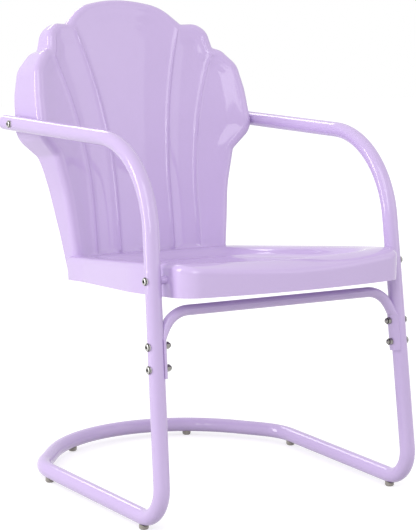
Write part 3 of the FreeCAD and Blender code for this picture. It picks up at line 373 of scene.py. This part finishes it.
def corner_middle(corner):
    """Number of the outline's sample in the middle of a left corner's arc."""
    return int(sum(side_arc_steps[:corner]) + sum(side_run_steps[:corner])
               + side_arc_steps[corner] // 2)


rows = corner_middle(row_corner)
print(rows, "rows and", last_sample - 2 * rows, "columns")

# %% Four-sided patches between guide lines
guide_easing, notch_spread = 6, 14


def patch(left_line, right_line, bottom, top, share):
    """Surface between four curves: the two blends of opposite curves, less the corners' blend."""
    across = share[None, :, None]
    up = np.linspace(0, 1, len(left_line))[:, None, None]
    sides = left_line[:, None] * (1 - across) + right_line[:, None] * across
    ends = bottom[None] * (1 - up) + top[None] * up
    corners = (bottom[0] * (1 - across) + bottom[-1] * across) * (1 - up)
    corners = corners + (top[0] * (1 - across) + top[-1] * across) * up
    return sides + ends - corners


def ridge_guide(start, offset, top_point):
    """A line beside a left crease, up to a point of the ring.

    It is the crease + offset + miss * share ** easing, with miss what it lacks at the top.
    """
    z = np.linspace(side_corners[0][1], top_point[1], rows + 1)
    x = -crease_x(z, *start) + offset
    miss = top_point[0] - x[-1]
    return np.stack([x + miss * np.linspace(0, 1, rows + 1) ** guide_easing, z], axis=-1)


def crossing_sample(start, corner):
    """Number of the ring's sample near a left notch that lies closest to a crease."""
    near = corner_middle(corner) + np.arange(-notch_spread, notch_spread + 1)
    aside = np.abs(back_ring[near, 0] + crease_x(back_ring[near, 1], *start))
    return int(near[np.argmin(aside)])


crest_samples = [crossing_sample(outer_crease, outer_notch),
                 crossing_sample(inner_crease, inner_notch)]
print("ridges meet the ring at samples", crest_samples)

# %% Front grid of the back
crest_half, foot_samples = 1.8, 7
beside_crest = [(-foot_samples, -ridge_half_width), (-1, -crest_half), (0, 0.0),
                (1, crest_half), (foot_samples, ridge_half_width)]
guide_samples, guides = [rows], [back_ring[:rows + 1]]
for sample, start in zip(crest_samples, (outer_crease, inner_crease)):
    for step, offset in beside_crest:
        guide_samples.append(sample + step)
        guides.append(ridge_guide(start, offset, back_ring[sample + step]))
guide_samples += [last_sample - sample for sample in guide_samples[::-1]]
guides += [guide * np.array([-1, 1]) for guide in guides[::-1]]
strips = []
for i in range(len(guides) - 1):
    top = back_ring[guide_samples[i]:guide_samples[i + 1] + 1]
    steps = np.hypot(*np.diff(top, axis=0).T)
    share = np.concatenate([[0], np.cumsum(steps)]) / steps.sum()
    bottom = guides[i][0] * (1 - share[:, None]) + guides[i + 1][0] * share[:, None]
    strip = patch(guides[i], guides[i + 1], bottom, top, share)
    strips.append(strip if i == 0 else strip[:, 1:])
front_grid = np.concatenate(strips, axis=1)
print("front grid", front_grid.shape)


# %% [markdown]
# Towards the rim the hollows fade out, slowly, and the ridges fade only where the roll begins.
# The rim then rolls over into the flange, which runs to the rear. Seen from the side the flange
# deepens up to the arms and then ends on one upright line, so it gets narrower towards the
# crown, where little more than the roll is left. The press moves square to the leaning back, so
# the flange also drops a little on its way to the rear.

# %% Distance to the outline
def edge_distance(points):
    """Distance of each point to the nearest straight piece of the outline, by projection."""
    flat = points.reshape(-1, 1, 2).astype(np.float32)
    start = back_outline[None, :-1].astype(np.float32)
    run = np.diff(back_outline, axis=0)[None].astype(np.float32)
    away = flat - start
    share = np.clip((away * run).sum(-1) / (run * run).sum(-1), 0, 1)
    away -= run * share[..., None]
    return np.sqrt((away * away).sum(-1).min(axis=1)).reshape(points.shape[:-1])


grid_distance = edge_distance(front_grid)
print("grid lies", round(float(grid_distance.min()), 1), "mm or more inside the outline")

# %% Depths of the grid, wall and roll
back_roll_radius = 12.5
border_share, border_width, ridge_fade = 0.35, 22.0, 4.0
wall_ring_count = 6


def back_front_depth(plan, hollow_share, ridge_share):
    """Plain surface plus the petals' hollow less the ridges, each faded by its share."""
    x, z = plan[..., 0], plan[..., 1]
    above = smooth_step((z - petal_bottom) / petal_bottom_fade)
    relief = hollow_depth(x, z) * hollow_share - ridge_rise(x, z) * ridge_share
    return back_surface(x, z) + relief * above


roll_plans, roll_depths, roll_starts = rolled_edge(
    back_outline, back_outward, lambda plan: back_surface(plan[:, 0], plan[:, 1]),
    back_roll_radius)
wall_shares = np.linspace(1, 0, wall_ring_count + 2)[1:-1, None]
wall_insets = roll_starts + (ring_inset - roll_starts) * wall_shares
wall_plans = back_outline - back_outward * wall_insets[..., None]
fade_width = np.minimum(ridge_fade, ring_inset - roll_starts)
wall_depths = back_front_depth(wall_plans, border_share * smooth_step(wall_shares),
                               smooth_step((wall_insets - roll_starts) / fade_width))
grid_share = border_share + (1 - border_share) * smooth_step(
    (grid_distance - ring_inset) / border_width)
grid_depth = back_front_depth(front_grid, grid_share, 1.0)
print("roll starts", round(float(roll_starts.min()), 1), "to", round(float(roll_starts.max()), 1),
      "mm inside the edge")

# %% Flange and its rear edge
flange_z = np.array([362.0, 430.0, 500.0, 560.0, 600.0, 640.0, 690.0, 745.0, 800.0, 870.0])
flange_y = np.array([444.5, 463.0, 487.5, 499.0, 518.0, 530.0, 539.5, 543.0, 543.0, 541.0])
flange_easing = np.linspace(-12, 12, 9)
flange_least_wall, flange_ring_count = 1.5, 5
flange_drop = math.tan(math.radians(8.0))


def flange_rear(plan):
    """Depth of the flange's rear edge: straight runs, averaged over 24 mm of height."""
    heights = plan[:, 1, None] + flange_easing
    line = np.interp(heights, flange_z, flange_y).mean(axis=1)
    return np.maximum(line, roll_depths[-1] + flange_least_wall)


rear_depth = flange_rear(back_outline)
flange_shares = np.linspace(0, 1, flange_ring_count + 1)[1:, None]
flange_runs = (rear_depth - roll_depths[-1]) * flange_shares
flange_depths = roll_depths[-1] + flange_runs
flange_plans = back_outline - flange_runs[..., None] * np.array([0.0, flange_drop])
print("flange ends between", round(float(rear_depth.min()), 1), "and",
      round(float(rear_depth.max()), 1))

# %% Back shell, one piece
ring_plans = np.concatenate([wall_plans, roll_plans, flange_plans])
ring_depths = np.concatenate([wall_depths, roll_depths, flange_depths])
grid_points = metres(front_grid[..., 0], grid_depth, front_grid[..., 1])
ring_points = metres(ring_plans[..., 0], ring_depths, ring_plans[..., 1])
grid_numbers = np.arange(grid_points[..., 0].size).reshape(grid_points.shape[:2])
ring_numbers = grid_numbers.size + np.arange(ring_points[..., 0].size).reshape(
    ring_points.shape[:2])
grid_border = np.concatenate([grid_numbers[:, 0], grid_numbers[-1, 1:-1], grid_numbers[::-1, -1]])
back_shell = sheet_piece(
    "back_shell",
    np.concatenate([grid_points.reshape(-1, 3), ring_points.reshape(-1, 3)]),
    np.concatenate([grid_quads(grid_numbers),
                    grid_quads(np.concatenate([grid_border[None], ring_numbers]))]),
)

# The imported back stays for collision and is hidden, and this finer one stands for it.
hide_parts("back_panel")
print("back shell has", len(back_shell.data.polygons), "faces")

# %% [markdown]
# ## The pressed seat
# The seat is a shallow pan with a bowl pressed into it. Its plan is a rounded shape that bows
# out at the front and narrows towards the rear, and its top slopes back and rolls down over
# the front edge. Rings of that plan, drawn further and further inwards, carry the height, so
# the rim, the bowl's soft slope and the floor are one formula of the distance from the edge.

# %% Plan of the seat at any distance inwards
seat_half, seat_front_y, front_angle = 226.0, -91.0, math.radians(12.2)
taper_y, taper_radius, rear_half, rear_y = 110.0, 300.0, 179.0, 405.0
rim_corner, rim_rear_corner, bow_fill = 47.0, 12.0, 0.95
seat_rear_z, seat_back_gap, rear_fade_start, rear_fade_width = 395.0, 0.3, 60.0, 45.0
seat_arc_steps = (40, 14, 6, 8, 40, 8, 6, 14)
seat_run_steps = (4, 24, 36, 4, 4, 36, 24, 4)


def arc_height(radius, aside):
    """Height of an arc over its centre: the root of r * r - x * x, and 1 past its ends."""
    return np.sqrt(np.clip(radius**2 - aside**2, 1, None))


def seat_ring(inset, corner, rear_corner):
    """Plan ring anticlockwise from above: front bow, corners, tapering sides and bowed rear.

    The front bow takes most of the largest radius that fits between the corners, which is the
    free run / tan(angle). The rear bow is moved on to the back's own curve, a gap before it.
    """
    half = seat_half - inset
    reach = corner * math.tan((math.pi / 2 - front_angle) / 2)
    bow_radius = bow_fill * (half / math.cos(front_angle) - reach) / math.tan(front_angle)
    apex = seat_front_y + inset - bow_radius * (1 / math.cos(front_angle) - 1)
    slant = math.atan2(seat_half - rear_half, rear_y - taper_y)
    bend_y = taper_y - inset * math.tan(slant / 2)
    back_y = rear_y - inset
    back_half = half - (back_y - bend_y) * math.tan(slant)
    bow = back_half**2 / (2 * dish_radius_low)
    slope = math.atan2(2 * bow, back_half)
    rear_radius = math.hypot(back_half, 2 * bow) / (2 * math.tan(slope))
    sides = [(half, apex + half * math.tan(front_angle)), (half, bend_y), (back_half, back_y)]
    corners = [(0, apex), *sides, (0, back_y + 2 * bow), *[(-x, y) for x, y in sides[::-1]]]
    radii = [corner, taper_radius, rear_corner]
    plan, left_hand = rounded_line(corners, [bow_radius, *radii, rear_radius, *radii[::-1]],
                                   seat_arc_steps, seat_run_steps, closed=True)
    rear_middle = back_y + 2 * bow - rear_radius * (1 / math.cos(slope) - 1)
    arc = rear_middle - rear_radius + arc_height(rear_radius, plan[:, 0])
    wall = back_surface(plan[:, 0], seat_rear_z) - seat_back_gap - inset
    plan[:, 1] += (wall - arc) * smooth_step(
        (plan[:, 1] - (back_y - rear_fade_start)) / rear_fade_width)
    return plan, -left_hand


seat_outline, seat_outward = seat_ring(0, rim_corner, rim_rear_corner)
print(len(seat_outline), "points round the seat, rear at",
      round(float(seat_outline[:, 1].max()), 1))

# %% Height of the seat's top
seat_height, seat_slope = 444.0, 0.12
nose_y, nose_angle, nose_radius = -53.0, math.radians(25), 150.0
slope_angle = math.atan(seat_slope)
nose_reach = nose_radius * math.tan((nose_angle + slope_angle) / 2)
nose_start = nose_y + nose_reach * math.cos(slope_angle)
nose_end = nose_y - nose_reach * math.cos(nose_angle)
nose_centre_y = nose_start - nose_radius * math.sin(slope_angle)
nose_centre_z = seat_height - seat_slope * nose_start - nose_radius * math.cos(slope_angle)


def seat_top(y):
    """Height - slope * y to the rear, an arc over the nose, and a steeper slope before it."""
    plane = seat_height - seat_slope * y
    arc = nose_centre_z + arc_height(nose_radius, y - nose_centre_y)
    end_z = nose_centre_z + arc_height(nose_radius, nose_end - nose_centre_y)
    front = end_z + (y - nose_end) * math.tan(nose_angle)
    return np.where(y > nose_start, plane, np.where(y > nose_end, arc, front))


print("the nose arc runs from y", round(nose_end, 1), "to", round(nose_start, 1))

# %% Height of the bowl
bowl_rim, bowl_slope, bowl_depth, bowl_corner = 25.0, 45.0, 18.0, 45.0
bowl_softness, bowl_overrun, lip_blend = 0.6, -0.1, 3.0


def bowl_height(y, inset):
    """The rim's plane less the bowl's depth, times s - softness * sin(2 pi s) / (2 pi)."""
    share = np.clip((inset - bowl_rim) / bowl_slope, bowl_overrun, 1)
    eased = share - bowl_softness * np.sin(2 * np.pi * share) / (2 * np.pi)
    return seat_height - seat_slope * y - bowl_depth * eased


def soft_lower(first, second):
    """The lower of two heights, rounded where they cross: the mix - blend * m * (1 - m)."""
    mix = np.clip(0.5 + (second - first) / (2 * lip_blend), 0, 1)
    return first * mix + second * (1 - mix) - lip_blend * mix * (1 - mix)


floor_inset, lip_inset, top_inset = bowl_rim + bowl_slope, 21.0, 15.0
slope_ring_count, lip_ring_count = 26, 5
print("the bowl falls", bowl_depth, "mm between insets of", bowl_rim, "and", floor_inset, "mm")

# %% Rings of the bowl
corner_blend_start, corner_blend_width, least_corner = 12.0, 12.0, 5.0
rear_blend_start, rear_blend_width, least_rear_corner = 6.0, 20.0, 4.0


def ring_corners(inset):
    """Corner radii of a ring: the rim's less the inset, blended into the bowl's looser ones."""
    loose = bowl_corner + floor_inset - inset
    tight = rim_corner - inset
    blend = smooth_step((inset - corner_blend_start) / corner_blend_width)
    rear_blend = smooth_step((inset - rear_blend_start) / rear_blend_width)
    return (max(tight + (loose - tight) * blend, least_corner),
            least_rear_corner + (loose - least_rear_corner) * rear_blend)


bowl_insets = np.concatenate([np.linspace(floor_inset, lip_inset, slope_ring_count),
                              np.linspace(lip_inset, top_inset, lip_ring_count)[1:]])
bowl_plans, bowl_heights = [], []
for inset in bowl_insets:
    plan, _ = seat_ring(inset, *ring_corners(inset))
    height = seat_top(plan[:, 1])
    if inset > top_inset:
        height = soft_lower(height, bowl_height(plan[:, 1], inset))
    bowl_plans.append(plan)
    bowl_heights.append(height)
print(len(bowl_plans), "rings in the bowl")

# %% Floor of the bowl
floor_ring = bowl_plans[0]
floor_centre = np.array([0.0, 150.0])
floor_shares = np.array([0.12, 0.28, 0.46, 0.64, 0.82, 0.93])
floor_plans = [floor_centre + (floor_ring - floor_centre) * share for share in floor_shares]
floor_heights = [bowl_height(plan[:, 1], floor_inset) for plan in floor_plans]
print(len(floor_plans), "rings on the floor")

# %% Roll and skirt
seat_roll_radius = 10.0
skirt_start, skirt_fall, skirt_ring_count = 389.0, 0.0895, 5
skirt_lean_start, skirt_lean_width = 380.0, 15.0
seat_roll_plans, seat_roll_depths, _ = rolled_edge(
    seat_outline, seat_outward, lambda plan: -seat_top(plan[:, 1]), seat_roll_radius)
seat_roll_heights = -seat_roll_depths
skirt_foot = skirt_start - skirt_fall * seat_outline[:, 1]
skirt_shares = np.linspace(0, 1, skirt_ring_count + 1)[1:, None]
skirt_heights = seat_roll_heights[-1] + (skirt_foot - seat_roll_heights[-1]) * skirt_shares

# At the rear the skirt leans with the back, so that the two can be bolted together.
seat_x, seat_y = seat_outline.T
lean = back_surface(seat_x, skirt_heights) - back_surface(seat_x, seat_rear_z)
lean = lean * smooth_step((seat_y - skirt_lean_start) / skirt_lean_width)
skirt_plans = seat_outline + lean[..., None] * np.array([0.0, 1.0])
print("skirt foot from", round(float(skirt_foot.min()), 1), "to",
      round(float(skirt_foot.max()), 1))

# %% Seat pan, one piece
seat_plans = np.concatenate([floor_plans, bowl_plans, seat_roll_plans, skirt_plans])
seat_heights = np.concatenate([floor_heights, bowl_heights, seat_roll_heights, skirt_heights])
seat_rings = metres(seat_plans[..., 0], seat_plans[..., 1], seat_heights)
seat_numbers = np.arange(seat_rings[..., 0].size).reshape(seat_rings.shape[:2])
closed_numbers = np.concatenate([seat_numbers, seat_numbers[:, :1]], axis=1)
hub = metres(floor_centre[0], floor_centre[1], bowl_height(floor_centre[1], floor_inset))
fan = np.stack([np.full(seat_numbers.shape[1], seat_numbers.size), closed_numbers[0, :-1],
                closed_numbers[0, 1:]], axis=-1)
seat_sheet = sheet_piece(
    "seat_sheet",
    np.concatenate([seat_rings.reshape(-1, 3), hub[None]]),
    grid_quads(closed_numbers)[:, ::-1],
    fan,
)
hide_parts("seat_pan")
print("seat sheet has", len(seat_sheet.data.polygons), "faces")


# %% [markdown]
# ## Finishes
# Everything big is steel under one coat of glossy enamel, the bolts are zinc-plated steel, and
# the glides are grey nylon. The patterns come from noise that is read in the object's own
# coordinates, so they stay on the steel in every view, and each one's scale is a real size.

# %% One helper for shader nodes
def add_node(tree, kind, inputs=None, links=None, **settings):
    """A node with its settings, its input values by name, and links from other outputs."""
    node = tree.nodes.new(kind)
    for name, value in settings.items():
        setattr(node, name, value)
    for name, value in (inputs or {}).items():
        node.inputs[name].default_value = value
    for name, output in (links or {}).items():
        tree.links.new(output, node.inputs[name])
    return node


def new_material(name, finish):
    """A node material: its surface shader with a finish's values, and Object coordinates."""
    material = bpy.data.materials.new(name)
    material.use_nodes = True
    tree = material.node_tree
    tree.nodes.clear()
    place = add_node(tree, "ShaderNodeTexCoord").outputs["Object"]
    shader = add_node(tree, "ShaderNodeBsdfPrincipled", finish)
    add_node(tree, "ShaderNodeOutputMaterial", links={"Surface": shader.outputs["BSDF"]})
    return material, tree, place, shader


print("material helpers ready")


# %% [markdown]
# Sprayed enamel isn't perfectly even: it flows into a faint orange peel a millimetre or two
# across, and its colour clouds a little over a hand's breadth. Its look is a sharp mirror over
# a soft, even colour. One clear coat over a matt base gives just that: the coat alone mirrors
# the lamps, and the base keeps the lilac. The peel is kept at its real size, finer than the
# render shows one by one, and only takes the glassy edge off the highlights.

# %% Sprayed enamel
def sprayed_enamel(name, colour, cloud_colour, peel_mm, cloud_mm=90):
    """Glossy enamel: a clear, hard coat over colour, with orange peel and faint clouding."""
    material, tree, place, shader = new_material(name, {
        "Roughness": 0.42, "Specular IOR Level": 0.0,
        "Coat Weight": 0.9, "Coat IOR": 1.5, "Coat Roughness": 0.03,
    })
    clouds = add_node(tree, "ShaderNodeTexNoise", {"Scale": 1000 / cloud_mm, "Detail": 2.0},
                      {"Vector": place})
    mix = add_node(tree, "ShaderNodeMix", {"A": linear(colour), "B": linear(cloud_colour)},
                   {"Factor": clouds.outputs["Fac"]}, data_type="RGBA")
    peel = add_node(tree, "ShaderNodeTexNoise", {"Scale": 1000 / peel_mm, "Detail": 1.0},
                    {"Vector": place})
    bump = add_node(tree, "ShaderNodeBump", {"Strength": 0.04, "Distance": 0.0003},
                    {"Height": peel.outputs["Fac"]})
    tree.links.new(mix.outputs["Result"], shader.inputs["Base Color"])
    tree.links.new(bump.outputs["Normal"], shader.inputs["Normal"])
    tree.links.new(bump.outputs["Normal"], shader.inputs["Coat Normal"])
    return material


lilac_enamel = sprayed_enamel("lilac_sprayed_enamel", lilac, "#CDB8E3", peel_mm=1.6)
tube_enamel = sprayed_enamel("lilac_enamel_on_tube", lilac, "#CCB8E2", peel_mm=1.2)
print(lilac_enamel.name, tube_enamel.name)

# %% [markdown]
# Zinc plate is bright, and its hollows get painted shade: the key's socket and a ring under the
# outer rim are mixed towards near black in place of their shadow. Both are rings round the bolt's
# axis, so the distance from the nearest axis says how dark a point is. The axes come from the
# imported bolts.
# Handling leaves marks under a millimetre long, which at their real size only spread the shine.

# %% Where the bolts stand
one_bolt_span = 0.03


def bolt_axes(name):
    """Depth and height of a node's bolts, which lie along x: (lowest + highest) / 2 of each.

    A node that spans more than one bolt's width has two, split at the node's middle height.
    """
    mesh = nodes[name].data
    places = np.zeros(len(mesh.vertices) * 3, np.float32)
    mesh.vertices.foreach_get("co", places)
    places = places.reshape(-1, 3)[:, 1:]
    low, high = places.min(axis=0), places.max(axis=0)
    if high[1] - low[1] < one_bolt_span:
        return [((low + high) / 2).tolist()]
    upper = places[:, 1] > (low[1] + high[1]) / 2
    return [((part.min(axis=0) + part.max(axis=0)) / 2).tolist()
            for part in (places[upper], places[~upper])]


side_bolt_axes = [axis for name in ("arm_bolts", "seat_side_bolts", "stretcher_bolts")
                  for axis in bolt_axes(name)]
print("bolts at", [(round(y, 3), round(z, 3)) for y, z in side_bolt_axes])

# %% Plated steel
# Near black with a soft edge, for the painted shade in the bolts' sockets and under their rims.
painted_socket_shade, painted_shade_edge_mm, rim_ring_mm = "#2B2A29", 0.3, 0.4
rubbed_share, marked_share = 0.8, 1.3


def plated_steel(name, colour, roughness, axes=(), socket_mm=0.0, rim_mm=0.0, grain_mm=0.6):
    """Bright metal with fine handling marks, and painted shade in its socket and round its rim.

    The painted shade is 1 where the distance from the nearest axis is under the socket's radius
    or within a narrow ring at the rim's, else 0. Metal keeps the default IOR.
    """
    material, tree, place, shader = new_material(
        name, {"Metallic": 1.0, "Base Color": linear(colour)})
    marks = add_node(tree, "ShaderNodeTexNoise", {"Scale": 1000 / grain_mm, "Detail": 3.0},
                     {"Vector": place})
    spread = add_node(tree, "ShaderNodeMapRange",
                      {"To Min": roughness * rubbed_share, "To Max": roughness * marked_share},
                      {"Value": marks.outputs["Fac"]})
    tree.links.new(spread.outputs["Result"], shader.inputs["Roughness"])
    if not axes:
        return material
    flat = add_node(tree, "ShaderNodeVectorMath", {1: (0, 1, 1)}, {0: place},
                    operation="MULTIPLY")
    gaps = [add_node(tree, "ShaderNodeVectorMath", {1: (0, depth, height)},
                     {0: flat.outputs[0]}, operation="DISTANCE").outputs["Value"]
            for depth, height in axes]
    nearest = gaps[0]
    for gap in gaps[1:]:
        nearest = add_node(tree, "ShaderNodeMath", links={0: nearest, 1: gap},
                           operation="MINIMUM").outputs[0]
    # Painted shade: the socket and a narrow ring at the rim are mixed towards near black.
    socket = add_node(tree, "ShaderNodeMapRange",
                      {"From Min": (socket_mm - painted_shade_edge_mm) / 1000,
                       "From Max": (socket_mm + painted_shade_edge_mm) / 1000,
                       "To Min": 1.0, "To Max": 0.0}, {"Value": nearest})
    ring = add_node(tree, "ShaderNodeMath", {1: rim_mm / 1000, 2: rim_ring_mm / 1000},
                    {0: nearest}, operation="COMPARE")
    dark = add_node(tree, "ShaderNodeMath",
                    links={0: socket.outputs["Result"], 1: ring.outputs[0]},
                    operation="MAXIMUM")
    mix = add_node(tree, "ShaderNodeMix", {"A": linear(colour), "B": linear(painted_socket_shade)},
                   {"Factor": dark.outputs[0]}, data_type="RGBA")
    tree.links.new(mix.outputs["Result"], shader.inputs["Base Color"])
    return material


# The bolts' sockets and rims, and the cap nuts' rims, get painted shade.
bolt_plating = plated_steel("zinc_plate_on_bolt", "#B9B8B4", 0.22, side_bolt_axes,
                            socket_mm=2.9, rim_mm=6.4)
nut_plating = plated_steel("zinc_plate_on_cap_nut", "#8F8D89", 0.25, side_bolt_axes,
                           rim_mm=4.9)
bright_plating = plated_steel("bright_zinc_plate", "#B9B8B4", 0.24)
bare_sleeve = plated_steel("drawn_steel_sleeve", "#A8A8AA", 0.38)
print(bolt_plating.name, nut_plating.name, bright_plating.name, bare_sleeve.name)


# %% [markdown]
# The glides are moulded nylon. It has a soft sheen from the mould, and dragging the chair over
# a porch scuffs it in patches a few millimetres across, which are darker and a little rough.

# %% Moulded plastic
def moulded_plastic(name, colour, scuff_colour, scuff_mm=5):
    """Nylon: two greys mixed by noise, which also raises the scuffs a little."""
    material, tree, place, shader = new_material(name, {"Roughness": 0.45})
    scuffs = add_node(tree, "ShaderNodeTexNoise", {"Scale": 1000 / scuff_mm, "Detail": 4.0},
                      {"Vector": place})
    mix = add_node(tree, "ShaderNodeMix", {"A": linear(colour), "B": linear(scuff_colour)},
                   {"Factor": scuffs.outputs["Fac"]}, data_type="RGBA")
    bump = add_node(tree, "ShaderNodeBump", {"Strength": 0.15, "Distance": 0.0002},
                    {"Height": scuffs.outputs["Fac"]})
    tree.links.new(mix.outputs["Result"], shader.inputs["Base Color"])
    tree.links.new(bump.outputs["Normal"], shader.inputs["Normal"])
    return material


grey_nylon = moulded_plastic("grey_moulded_nylon", "#A9A49B", "#8E8A82")
print(grey_nylon.name)

# %% Give every piece its finish
finishes = {
    "left_frame": tube_enamel, "right_frame": tube_enamel, "front_stretcher": tube_enamel,
    "arm_end_caps": tube_enamel, "arm_spacers": tube_enamel, "seat_side_spacers": tube_enamel,
    "back_panel": lilac_enamel, "seat_pan": lilac_enamel,
    "rear_bar_sleeve": bare_sleeve,
    "arm_bolts": bolt_plating, "seat_side_bolts": bolt_plating, "stretcher_bolts": bolt_plating,
    "stretcher_cap_nuts": nut_plating,
    "front_glides": grey_nylon, "side_glides": grey_nylon, "rear_glides": grey_nylon,
}
for name, node in nodes.items():
    node.data.materials.clear()
    node.data.materials.append(finishes.get(name, bright_plating))
for piece in (back_shell, seat_sheet):
    piece.data.materials.append(lilac_enamel)
print(len(nodes), "nodes finished")


# %% [markdown]
# ## Studio
# A chair like this is shown on plain white. The floor and the world look white to the camera and
# in reflections, while the light that they throw on the chair stays lower, so its colour isn't
# washed out. The floor is light grey paint that also glows for those rays, and more so further
# away. So it reads as white with no horizon, and it still keeps the chair's shadow.

# %% White floor that keeps the shadow
def seen_rays(tree, kinds):
    """1 for rays of the named kinds, else 0: the greatest of those outputs of Light Path."""
    paths = add_node(tree, "ShaderNodeLightPath")
    seen = paths.outputs[kinds[0]]
    for kind in kinds[1:]:
        seen = add_node(tree, "ShaderNodeMath", links={0: seen, 1: paths.outputs[kind]},
                        operation="MAXIMUM").outputs[0]
    return seen


floor_half, floor_glow, far_floor_glow = 9.0, 0.6, 0.75
glow_start, glow_end = 0.8, 3.5
floor_mesh = make_mesh(
    "studio_floor",
    np.array([(-floor_half, -floor_half, 0), (floor_half, -floor_half, 0),
              (floor_half, floor_half, 0), (-floor_half, floor_half, 0)], float),
    np.array([[0, 1, 2, 3]]),
)
studio_floor = bpy.data.objects.new("studio_floor", floor_mesh)
bpy.context.scene.collection.objects.link(studio_floor)
floor_material, floor_tree, floor_place, floor_shader = new_material("white_studio_floor", {
    "Base Color": linear("#C8C8C8"), "Roughness": 0.9, "Specular IOR Level": 0.0,
    "Emission Color": linear("#FFFFFF"),
})
away = add_node(floor_tree, "ShaderNodeVectorMath", links={0: floor_place}, operation="LENGTH")
fill = add_node(floor_tree, "ShaderNodeMapRange",
                {"From Min": glow_start, "From Max": glow_end,
                 "To Min": floor_glow, "To Max": far_floor_glow},
                {"Value": away.outputs["Value"]})
glow = add_node(floor_tree, "ShaderNodeMath",
                links={0: seen_rays(floor_tree, ("Is Camera Ray", "Is Glossy Ray")),
                       1: fill.outputs["Result"]}, operation="MULTIPLY")
floor_tree.links.new(glow.outputs[0], floor_shader.inputs["Emission Strength"])
floor_mesh.materials.append(floor_material)
print("floor", 2 * floor_half, "m wide")

# %% World, white to the eye and softer as light
world_light = 0.68
world = bpy.data.worlds.new("studio_world")
bpy.context.scene.world = world
world.use_nodes = True
world_tree = world.node_tree
world_tree.nodes.clear()
direct_rays = seen_rays(world_tree, ("Is Camera Ray", "Is Glossy Ray", "Is Transmission Ray"))
strength = add_node(world_tree, "ShaderNodeMapRange", {"To Min": world_light, "To Max": 1.0},
                    {"Value": direct_rays})
sky = add_node(world_tree, "ShaderNodeBackground", {"Color": linear("#FFFFFF")},
               {"Strength": strength.outputs["Result"]})
add_node(world_tree, "ShaderNodeOutputWorld", links={"Surface": sky.outputs["Background"]})
print("the world lights the chair at", world_light)


# %% [markdown]
# Glossy enamel shows a lamp wherever its surface faces half way between that lamp and the
# camera. So the lamps stand where their mirror images fall on the crests of the ridges, the
# rim, the seat's front edge and the sides of the tubes. They are large rectangles, which keep
# those images soft-sided, and weak, so that the lilac stays as it was mixed.

# %% Five soft lamps
def soft_lamp(name, place, target, width, height, power):
    """A rectangular lamp at a place, turned to face a target.

    A lamp shines down its own -z. It is tipped up by 90 degrees plus the target's angle of
    rise, and then turned about z by the target's bearing less 90 degrees.
    """
    data = bpy.data.lights.new(name, "AREA")
    data.shape, data.size, data.size_y, data.energy = "RECTANGLE", width, height, power
    lamp = bpy.data.objects.new(name, data)
    bpy.context.scene.collection.objects.link(lamp)
    lamp.location = place
    way = np.subtract(target, place)
    rise = math.atan2(way[2], math.hypot(way[0], way[1]))
    lamp.rotation_euler = (math.pi / 2 + rise, 0, math.atan2(way[1], way[0]) - math.pi / 2)


chair_middle = (0, 0, 0.5)
soft_lamp("side_lamp", (-3.25, 1.05, 1.35), chair_middle, width=0.9, height=2.4, power=56)
soft_lamp("front_left_lamp", (-2.22, -2.64, 1.65), chair_middle, width=0.8, height=1.4, power=18)
soft_lamp("upper_left_lamp", (-1.6, -2.3, 3.0), chair_middle, width=1.8, height=1.8, power=27)
soft_lamp("front_right_lamp", (2.4, -2.4, 1.6), chair_middle, width=2.4, height=2.4, power=16)
soft_lamp("rear_lamp", (0.3, 3.0, 2.5), chair_middle, width=1.0, height=1.0, power=14)
print("five lamps turned to", chair_middle)

# %% [markdown]
# ## Camera
# The viewing angle was worked out from the chair itself: both sides are mirror images, so the
# places of matching points fix where the camera stood, how far away, and its slight roll.

# %% Camera from the solved view
camera_place = metres(-1674.9, -2371.8, 885.7)
camera_target = metres(0.0, 220.8, 394.4)
camera_roll = math.radians(1.04)
camera_lens, sensor_size, view_end = 116.95, 36.0, 40.0
backward = (camera_place - camera_target) / np.linalg.norm(camera_place - camera_target)
level_right = np.cross([0.0, 0.0, 1.0], backward)
level_right /= np.linalg.norm(level_right)
level_up = np.cross(backward, level_right)
right_way = math.cos(camera_roll) * level_right + math.sin(camera_roll) * level_up
up_way = -math.sin(camera_roll) * level_right + math.cos(camera_roll) * level_up
camera_data = bpy.data.cameras.new("studio_camera")
camera_data.lens, camera_data.sensor_width = camera_lens, sensor_size
camera_data.clip_end = view_end
studio_camera = bpy.data.objects.new("studio_camera", camera_data)
bpy.context.scene.collection.objects.link(studio_camera)
turn = np.eye(4)
turn[:3, 0], turn[:3, 1], turn[:3, 2], turn[:3, 3] = right_way, up_way, backward, camera_place
studio_camera.matrix_world = Matrix(turn.tolist())
bpy.context.scene.camera = studio_camera
bpy.context.scene.view_settings.view_transform = "Standard"
print("camera at", camera_place.tolist())
